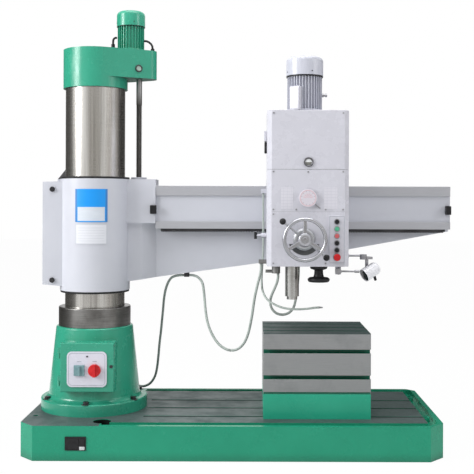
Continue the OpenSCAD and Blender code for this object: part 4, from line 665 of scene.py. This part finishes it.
for i in range(1, turns):
    copy = bmesh.ops.duplicate(flank, geom=first_turn)["geom"]
    bmesh.ops.translate(flank, vec=(0, 0, i * pitch), verts=[g for g in copy if isinstance(g, bmesh.types.BMVert)])
bmesh.ops.remove_doubles(flank, verts=flank.verts, dist=1e-5)
bmesh.ops.holes_fill(flank, edges=[e for e in flank.edges if e.is_boundary], sides=0)
bmesh.ops.triangulate(flank, faces=[f for f in flank.faces if len(f.verts) > 4])
bmesh.ops.recalc_face_normals(flank, faces=flank.faces)
bmesh.ops.translate(flank, vec=(screw_x, 0, 0), verts=flank.verts)
shank = eased("lead_screw", 0.6)
bmesh.ops.bisect_plane(shank, geom=shank.verts[:] + shank.edges[:] + shank.faces[:], plane_co=(0, 0, thread_top),
                       plane_no=(0, 0, 1), clear_inner=True)
bmesh.ops.holes_fill(shank, edges=[e for e in shank.edges if e.is_boundary], sides=0)
made("threaded_screw", joined(flank, shank), thread, "screw", "dark_steel", "lead_screw")

# Arm: one iron casting, split at the back of its sleeve so that two bolts can clamp it on the column. It is
# filled, rubbed down and enamelled pale grey; the steadying gusset on the sleeve's rim stays dark.
pale, pale_deep = seen(203, 205, 213), seen(191, 193, 202)
arm_finish, wire, where, feed = finish("arm_enamel")
z = where.parts()[2]
paint, gloss, peel = enamel_coat(wire, where, pale, pale_deep)
dark_foot = z > 1.5385
feed(base_color=wire.colour(dark_foot, paint, seen(70, 70, 72)), roughness=gloss + 0.1,
     normal=wire.bump(peel, 0.08, 0.001))
made("arm", eased("arm_casting", 7.0, 3), arm_finish, "arm", "pale_paint", "arm_casting", sharp=45)
made("sleeve_bolts", eased("ear_bolts", 2.0), black_steel, "arm", "dark_steel", "ear_bolts")
made("sleeve_wipers", eased("wiper_rings", 2.0), black_sleeve, "arm", "black_rubber", "wiper_rings")
bronze, wire, where, feed = finish("nut_bronze")
tarnish = wire.noise(where, 30.0, 5.0)
z, seat = where.parts()[2], 1.5371
flange = wire.colour(tarnish, seen(190, 192, 200), seen(176, 178, 186))
feed(base_color=wire.colour(z > seat, wire.colour(tarnish, seen(196, 156, 96), seen(140, 104, 62)), flange),
     roughness=0.3 + 0.2 * tarnish, metallic=z < seat)
made("screw_nut", eased("lift_nut", 2.0), bronze, "arm", "bronze", "lift_nut")
made("clip", eased("hose_clip", 1.5), black_steel, "arm", "dark_steel", "hose_clip")

# Guide rails: two hardened steel strips along the arm's face, ground bright along their length. The toothed rack
# for the traverse pinion is screwed under the lower one, and black stop blocks end the travel.
rail_steel, wire, where, feed = finish("ground_rail", metallic=0.3)
streak = wire.noise(wire.stretched(where, (2.0, 120.0, 120.0)), 5.0, 5.0, 0.6)
feed(base_color=wire.colour(streak, seen(190, 191, 197), seen(160, 161, 166)), roughness=0.34 + 0.14 * streak,
     normal=wire.bump(streak, 0.06, 0.0006))
made("rails", eased("guide_rails", 1.5), rail_steel, "arm", "ground_steel", "guide_rails")
coat(black_steel, "traverse_rack")
made("stop_blocks", eased("end_stops", 2.5), black_moulding, "arm", "black_rubber", "end_stops")

# Sleeve plates: two thin printed metal plates bent round the sleeve. The upper one is a blue field over a pale
# window, and the lower one is white with faint ruled lines; both are blank.
plates, wire, where, feed = finish("printed_plates")
x, _, z = where.parts()
low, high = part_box("sleeve_plates")
mid, half = (low.x + high.x) / 2, (high.x - low.x) / 2
upper = z > 1.28
window = (z < 1.372) * (abs(x - mid) < half * 0.84) * (z > 1.2925)
side = wire.band(abs(x - mid), half * 0.86, half * 0.9)
shade = wire.noise(wire.stretched(where, (4.0, 4.0, 14.0)), 4.0, 3.0)
blue = wire.colour(side * 0.7 + 0.12 * shade, seen(14, 150, 236), seen(52, 112, 170))
glass = wire.colour(shade, seen(196, 204, 214), seen(214, 220, 228))
rule = wire.sum("PINGPONG", z, 0.0075) > 0.0066
ruled = rule * (abs(x - mid) < half * 0.82) * (z > 1.17) * (z < 1.262)
border = (abs(x - mid) > half * 0.93) | (z < 1.162) | (z > 1.2705)
white = wire.colour(0.45 * ruled + 0.5 * border, wire.colour(shade, seen(222, 224, 230), seen(212, 214, 221)),
                    seen(166, 170, 180))
feed(base_color=wire.colour(upper, white, wire.colour(window, blue, glass)), roughness=0.3 + 0.15 * shade)
coat(plates, "sleeve_plates")

# Head: a box casting that slides along the rails on keepers, closed in front by three sheet covers. All is
# enamelled nearly white, with screw heads along the seams.
white_grey, white_deep = seen(207, 207, 216), seen(196, 196, 205)
head_enamel = enamel("head_enamel", white_grey, white_deep, 0.06)
made("head_box", eased("head_casting", 4.0, 2), head_enamel, "head", "pale_paint", "head_casting", sharp=45)
for piece, node in (("cover_top", "upper_cover"), ("cover_middle", "dial_panel"), ("cover_low", "lower_cover")):
    made(piece, eased(node, 3.0, 3), head_enamel, "head", "pale_paint", node, sharp=50)
made("keepers", eased("saddle_keepers", 2.0), rail_steel, "head", "ground_steel", "saddle_keepers")
front = -400.0


def screw_head(x, z, y=front, r=5.0):
    """A round cap with a shallow round recess in its face, let in from the front."""
    return turned([(0, -1, 0), (r, -1, 0), (r, 2.4, 1.0), (r * 0.55, 2.4, 0), (r * 0.5, 1.0, 0), (0, 1.0, 0)],
                  (x, y, z), "Y", 20)


zinc = steel("zinc_screw", seen(168, 168, 172), seen(120, 120, 126), 0.34)
made("cover_screws", joined(*[screw_head(x, z) for x, z in (
    (1052, 1572), (1243, 1571), (1436, 1572), (1052, 1363), (1178, 1363), (1340, 1363), (1436, 1363), (1052, 1337),
    (1052, 1066), (1052, 1896), (1436, 1896), (1340, 1066))]), zinc, "head", "ground_steel")
seam = [slab((1019, front + 0.6, z - 1.4), (1468, front + 2, z + 1.4), 0.4) for z in (1584.15, 1351.15)]
for strip in seam:
    bmesh.ops.scale(strip, vec=(0.9, 1, 1), space=Matrix.Translation((-1.2435, 0, 0)), verts=strip.verts)
made("cover_seams", joined(*seam), black_moulding, "head", "black_plastic")
made("door_catch", slab((1001, -262, 1748), (1017.5, -226, 1807), 4.0), head_enamel, "head", "pale_paint")
made("door_catch_grip", slab((1003, -258, 1680), (1017.5, -230, 1746), 4.0), black_steel, "head", "dark_steel")

# Main motor: a finned flange motor standing on the head, painted with it, under a pressed fan cover. Its white
# terminal box faces the operator's left, and a cable gland sticks out to the right.
motor_enamel = enamel("motor_enamel", seen(198, 200, 210), seen(182, 184, 196), 0.08)
motor_foot = (1231, -240, 1913)
motor(motor_foot, 99, 214, 105, 99, 36, motor_enamel, "head", "pale_paint", "main_motor", "main_drive")
box = slab((82, -32, 6), (119, 32, 140), 4.0, 3)
lid = slab((117, -29, 12), (122, 29, 134), 2.0)
terminal = joined(box, lid)
moved(terminal, about("Z", -122), [v / 1000 for v in motor_foot])
made("terminal_box", terminal, head_enamel, "head", "pale_paint")
gland = (*motor_foot[:2], 2012)
made("motor_gland", joined(
    turned([(0, 84, 0), (11, 84, 0), (11, 108, 1.5), (7, 108, 0), (7, 122, 1), (0, 122, 0)], gland, "X", 24),
    turned([(0, 116, 0), (10, 116, 0), (10, 128, 2), (0, 128, 0)], gland, "X", 24)),
    zinc, "head", "ground_steel")

# Sight glass: a steel ring screwed into the top cover round a domed glass, behind which the oil stands half up.
ring_low, ring_high = [v * 1000 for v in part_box("sight_glass")]
gx, gz = (ring_low.x + ring_high.x) / 2, (ring_low.z + ring_high.z) / 2
oil_glass, wire, where, feed = finish("oil_behind_glass", roughness=0.08, coat_weight=1.0)
z = where.parts()[2]
level = wire.band(z, gz / 1000 - 0.001, gz / 1000 + 0.001)
feed(base_color=wire.colour(level, wire.colour(wire.noise(where, 80.0), seen(104, 104, 100), seen(126, 126, 120)),
                            seen(232, 234, 236)))
ring_steel = steel("ring_steel", seen(120, 120, 124), seen(84, 84, 88), 0.28)
made("glass_ring", turned([(18, 0, 0), (27, 0, 0), (27, 7.5, 2), (20, 7.5, 1.5), (18, 5, 0)],
                          (gx, front, gz), "Y", 48), ring_steel, "head", "dark_steel", "sight_glass")
made("glass_dome", turned([(0, 1, 0), (18.5, 1, 0), (18.5, 3.5, 1.2), (0, 5, 0)], (gx, front, gz), "Y", 40),
     oil_glass, "head", "oil_glass")

# Dial panel: a speed dial with a red-ringed face turns on a stem in the middle cover, between two blank tables
# with ruled lines. A small pointer is fixed beside it.
tables, wire, where, feed = finish("ruled_tables", roughness=0.45)
x, _, z = where.parts()
across = wire.sum("PINGPONG", z - 1.37, 0.0085) > 0.0078
down = wire.sum("PINGPONG", x - 1.095, 0.0110) > 0.0104
lines = across | down
paper_tone = wire.noise(where, 40.0)
feed(base_color=wire.colour(lines * 0.35, wire.colour(paper_tone, seen(212, 211, 219), seen(206, 205, 214)),
                            seen(150, 152, 170)))
made("speed_tables", joined(slab((1094, front - 1.2, 1366), (1160, front + 0.5, 1486), 0.4),
                            slab((1331, front - 1.2, 1366), (1405, front + 0.5, 1486), 0.4)),
     tables, "head", "plate_metal")


def round_scale(wire, where, centre_x, centre_z, marks):
    """How far a point lies from a dial's centre, how high above it, and which mark it stands at."""
    x, _, z = where.parts()
    dx, dz = x - centre_x, z - centre_z
    return wire.sum("SQRT", dx * dx + dz * dz), dz, wire.sum("ARCTAN2", dz, dx) * (marks / math.tau)


dial_face, wire, where, feed = finish("dial_face", roughness=0.35)
reach, dz, turn = round_scale(wire, where, 1.242, 1.426, 12)
tick = (wire.sum("PINGPONG", turn, 0.5) > 0.44) * (reach > 0.033) * (reach < 0.040)
red_ring = (reach > 0.0405) * (reach < 0.0445)
half_red = (reach < 0.026) * (dz > 0.002) * (wire.sum("PINGPONG", turn, 0.5) > 0.3)
face = wire.colour(wire.noise(where, 50.0), seen(214, 209, 217), seen(206, 201, 210))
feed(base_color=wire.colour((red_ring * 0.6) | (half_red * 0.6),
                            wire.colour(tick * 0.7, face, seen(120, 120, 130)), seen(206, 152, 160)))
made("dial", eased("speed_dial", 3.0, 3), dial_face, "speed_dial", "white_paint", "speed_dial")
pointer = slab((-4, -405, -3), (34, -399, 3), 1.5)
moved(pointer, about("Y", 40), (1.284, 0, 1.391))
made("dial_pointer", pointer, zinc, "head", "ground_steel")

# Handwheel: a cast wheel with three spokes, chromed and polished, on the traverse shaft. Behind it the feed
# handle's hub carries a graduated dial and two rods with black balls.
chrome, wire, where, feed = finish("polished_chrome", metallic=1.0)
haze = wire.noise(where, 25.0, 5.0, 0.6)
feed(base_color=wire.colour(haze, seen(190, 191, 196), seen(154, 155, 160)), roughness=0.2 + 0.16 * haze)
wheel_x, wheel_z = 1222, 1199
wheel, wheel_m = (wheel_x, 0, wheel_z), (wheel_x / 1000, 0, wheel_z / 1000)
bm = bmesh.new()
bmesh.ops.create_circle(bm, segments=24, radius=0.0105)
bmesh.ops.translate(bm, vec=(0.1115, 0, 0), verts=bm.verts)
bmesh.ops.spin(bm, geom=bm.verts[:] + bm.edges[:], cent=(0, 0, 0), axis=(0, 1, 0), angle=2 * math.pi, steps=96,
               use_merge=True)
bmesh.ops.remove_doubles(bm, verts=bm.verts, dist=1e-6)
bmesh.ops.recalc_face_normals(bm, faces=bm.faces)
moved(bm, place=(wheel_x / 1000, -0.480, wheel_z / 1000))
spokes = []
for a in (90, 210, 330):
    spoke = slab((30, -487, -12), (110, -474, 12), 5.0, 3)
    outer = [v for v in spoke.verts if v.co.x > 0.08]
    bmesh.ops.scale(spoke, vec=(1, 0.9, 0.78), space=Matrix.Translation((0, 0.48, 0)), verts=outer)
    spokes.append(moved(spoke, about("Y", -a), wheel_m))
hub = turned([(12, 461, 0), (40, 461, 2), (38, 478, 2), (36, 488, 5), (20, 494, 6), (12, 492, 3), (0, 493, 0),
              (0, 461, 0)], wheel, "Y", 64)
shaft = turned([(0, 55, 0), (12, 55, 0), (12, 461, 0), (0, 461, 0)], wheel, "Y", 32)
made("traverse_wheel", joined(bm, hub, shaft, *spokes), chrome, "handwheel", "bright_steel", "handwheel", sharp=50)
grade, wire, where, feed = finish("graduated_dial", metallic=0.9)
reach, _, turn = round_scale(wire, where, wheel_x / 1000, wheel_z / 1000, 60)
tick = (wire.sum("PINGPONG", turn, 0.5) > 0.38) * (reach > 0.054)
brushed = wire.noise(wire.stretched(where, (60.0, 1.0, 60.0)), 4.0, 4.0)
bright = wire.colour(brushed, seen(206, 208, 212), seen(176, 178, 182))
feed(base_color=wire.colour(tick * 0.8, bright, seen(70, 72, 76)), roughness=0.3 + 0.15 * brushed)
made("feed_dial", turned([(18.2, 404, 0), (62, 404, 0), (62, 414, 1), (52, 426, 1), (18.2, 428, 0)],
                         wheel, "Y", 72), grade, "feed_handle", "bright_steel")
# Painted shade: a dark half-round steel plate on the head, behind the wheel's lower half, stands for the shade
# there.
half = bmesh.new()
arc = [half.verts.new((0.088 * math.cos(a), 0, 0.088 * math.sin(a))) for a in
       [math.radians(198 + 144 * i / 40) for i in range(41)]]
plate = half.faces.new(arc)
deep = bmesh.ops.extrude_face_region(half, geom=[plate])
bmesh.ops.translate(half, vec=(0, 0.004, 0), verts=[v for v in deep["geom"] if isinstance(v, bmesh.types.BMVert)])
bmesh.ops.recalc_face_normals(half, faces=half.faces)
moved(half, place=(wheel_x / 1000, -0.4035, wheel_z / 1000))
made("painted_shade_plate", half, steel("painted_shade_steel", seen(104, 106, 108), seen(74, 76, 78), 0.4), "head", "plate_metal")
made("feed_hub", eased("feed_handle", 1.5), chrome, "feed_handle", "bright_steel", "feed_handle")
balls = []
for a in (140.5, 320.5):
    place = (wheel_x + 155 * math.cos(math.radians(a)), -445, wheel_z + 155 * math.sin(math.radians(a)))
    ball = bmesh.new()
    bmesh.ops.create_uvsphere(ball, u_segments=32, v_segments=20, radius=0.0178)
    balls.append(moved(ball, place=Vector(place) / 1000))
made("feed_balls", joined(*balls), black_moulding, "feed_handle", "black_plastic")

# Button panel: six buttons in steel collars on a raised strip at the right of the low cover. They spring back,
# and the red mushroom at the bottom stops the machine.
panel_x, face = 1402.0, -408.0
green_moulding = moulding("green_moulding", seen(96, 186, 148), seen(70, 160, 122), 0.34)
pink_moulding = moulding("pink_moulding", seen(208, 110, 112), seen(186, 84, 88), 0.34)
collars = []
for node, z, tone, slot in (
        ("button_top", 1296, black_moulding, "black_plastic"),
        ("button_start", 1257, green_moulding, "green_plastic"),
        ("button_reverse", 1218, pink_moulding, "pink_plastic"),
        ("button_up", 1179, black_moulding, "black_plastic"),
        ("button_down", 1140, black_moulding, "black_plastic"),
        ("button_stop", 1101, red_moulding, "red_plastic")):
    made(node.replace("button", "push"), eased(node, 2.4, 3), tone, node, slot, node)
    wide, thick, soft, steps = (22, 3.0, 1.0, 40) if node == "button_stop" else (16.5, 3.5, 1.2, 36)
    collars.append(turned([(12.2, 0, 0), (wide, 0, 0), (wide, thick, soft), (12.2, thick, 0.6)],
                          (panel_x, face, z), "Y", steps))
made("button_collars", joined(*collars), zinc, "head", "ground_steel")
made("panel_line", frame_line(panel_x - 41, panel_x + 41, 1071, 1327, face - 0.5, face + 0.3, 6, 1.6), grey_print,
     "head", "plate_metal")

# Under the head: the quill and spindle of ground steel, the black fine feed wheel, the operating lever on its
# lug, the coolant valve and the barbs that the hoses are drawn on.
quill_steel = steel("ground_quill", seen(186, 186, 184), seen(140, 139, 136), 0.2, (1.0, 1.0, 140.0))
coat(quill_steel, "quill", "spindle")
made("fine_wheel", turned([
    (0, 958, 0), (56, 958, 4), (62, 968, 5), (62, 976, 5), (52, 984, 4), (30, 986, 4), (26, 1000, 4), (24, 1024, 3),
    (46, 1032, 2), (50, 1047, 1), (14, 1047, 0), (14, 1068, 0), (0, 1068, 0)], (1308, -330, 0), steps=64),
    black_moulding, "fine_feed", "black_plastic", "fine_feed_knob")
made("lever", eased("operating_lever", 1.6, 3), zinc, "operating_lever", "ground_steel", "operating_lever")
tip = turned([(0, 90, 0), (7.4, 90, 2), (8, 102, 3), (7, 116.4, 4), (0, 116.4, 0)], (1415, -360.3, 1020), "X", 28)
made("lever_grip", tip, black_moulding, "operating_lever", "black_plastic")
valve_metal, wire, where, feed = finish("valve_metal")
wear = wire.noise(where, 40.0, 5.0, 0.6)
painted = where.parts()[2] > 1.42
worn = wire.colour(wear, seen(150, 149, 148), seen(92, 92, 92))
feed(base_color=wire.colour(painted, worn, seen(196, 197, 205)), metallic=0.7 * (1 - painted),
     roughness=0.32 + 0.2 * wear)
made("coolant_fittings", eased("coolant_manifold", 1.6), valve_metal, "head", "dark_steel", "coolant_manifold")

# Clamp lever: a white bar with a black grip at the head's left side, which locks the head on the rails.
made("clamp_bar", eased("head_clamp_lever", 2.0, 3), head_enamel, "clamp_lever", "white_paint", "head_clamp_lever")
made("clamp_grip", turned([(0, -22.4, 0), (8.4, -22.4, 3), (9.2, 0, 2), (8.4, 22.4, 3), (0, 22.4, 0)],
                          (955, -200, 1213), steps=28), black_moulding, "clamp_lever", "black_plastic")

# Work lamp: a white spun shade with a clear lens on a jointed arm at the head's right. A black grip under the
# shade turns it.
made("lamp_mount", eased("lamp_bracket", 1.5), zinc, "head", "ground_steel", "lamp_bracket")
made("lamp_link", eased("lamp_arm", 1.8), zinc, "lamp_arm", "ground_steel", "lamp_arm")
lamp_white = enamel("lamp_white", seen(238, 238, 242), seen(228, 229, 235))
lamp_way = Vector((-math.cos(math.radians(28)), 0, -math.sin(math.radians(28))))
swing = about("Z", 25)
lamp_centre = Vector((1.557, -0.330, 1.018)) + swing @ Vector((0.049, 0, 0))
lamp_turn = swing @ lamp_way.to_track_quat("Z", "Y").to_matrix()
shade = turned([(0, -50, 0), (26, -50, 5), (36, -38, 8), (36.6, 20, 1), (38, 22, 0.6), (38, 50, 1), (36, 50, 0.8),
                (35, 42, 0), (0, 42, 0)], steps=56)
lens = turned([(0, 42.2, 0), (34.8, 42.2, 0), (34.8, 45, 0.8), (0, 47.5, 0)], steps=48)
for part in (shade, lens):
    moved(part, lamp_turn, lamp_centre)
grip = moved(slab((-7, -6, 0), (7, 6, 34), 4.0, 3), about("Y", 160))
moved(grip, swing, lamp_centre + swing @ Vector((0.022, 0, -0.022)))
pin = turned([(0, 26, 0), (5, 26, 0), (5, 46, 1), (0, 46, 0)], axis="Y", steps=24)
moved(pin, swing @ about("X", 180), lamp_centre)
made("lamp_shade", joined(shade, pin), lamp_white, "lamp_body", "white_paint", "lamp_body")
# Painted shade: the clear lens is coloured nearly black for the unlit inside of the lamp behind it; the ripples are
# its flutes.
lens_glass, wire, where, feed = finish("lamp_lens", roughness=0.12, coat_weight=0.3)
flutes = wire.noise(where, 160.0, 2.0)
feed(base_color=wire.colour(flutes, seen(18, 19, 22), seen(42, 44, 48)), normal=wire.bump(flutes, 0.3, 0.001))
made("lamp_lens", lens, lens_glass, "lamp_body", "white_paint")
made("lamp_grip", grip, black_moulding, "lamp_body", "black_plastic")

# Box table: an iron cube planed on its top and sides with T-slots, standing on the base on an enamelled foot. Two
# T-bolts inside hold it down; the slots' insides are their green paint, darkened as painted shade.
table_finish, wire, where, feed = finish("planed_table", specular_ior_level=0.22)
x, y, z = where.parts()
low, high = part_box("box_table")
edge = 0.0016
proud = ((z > high.z - edge) | (y < low.y + edge) | (y > high.y - edge)
         | (x < low.x + edge) | (x > high.x - edge))
foot = z < 0.330
plane = wire.noise(wire.stretched(where, (2.0, 90.0, 90.0)), 5.0, 4.0)
rust = wire.band(wire.noise(where, 7.0, 6.0, 0.65), 0.5, 0.8)
on_top = z > high.z - 0.003
iron = wire.colour(on_top, wire.colour(0.6 * plane + 0.4 * rust, seen(152, 153, 154), seen(118, 121, 122)),
                   wire.colour(0.5 * plane + 0.5 * rust, seen(66, 82, 81), seen(46, 62, 61)))
paint, gloss, peel = enamel_coat(wire, where, seen(50, 172, 140), seen(38, 156, 126))
bare = proud * (1 - foot)
# Painted shade: the green inside the slots is mixed halfway toward a dark grey-green.
groove_paint_and_shade = wire.colour(0.5, green_deep, seen(40, 70, 62))
feed(base_color=wire.colour(foot, wire.colour(bare, groove_paint_and_shade, iron), paint), metallic=bare * 0.35,
     roughness=gloss + bare * 0.22, normal=wire.bump(plane * bare + peel * (1 - bare), 0.1, 0.001))
made("work_table", eased("box_table", 2.0, 2), table_finish, "base", "table_iron", "box_table")
coat(black_steel, "table_bolts")

# Coolant pump: a cast motor pump let into the base behind the pedestal, with a barbed outlet for the supply hose.
pump_iron, wire, where, feed = finish("pump_iron")
cast = wire.noise(where, 120.0, 5.0)
feed(base_color=wire.colour(wire.noise(where, 12.0, 5.0), seen(86, 92, 96), seen(110, 116, 120)),
     roughness=0.42 + 0.2 * cast, normal=wire.bump(cast, 0.25, 0.001))
made("pump", eased("coolant_pump", 3.0, 3), pump_iron, "base", "plain_iron", "coolant_pump")
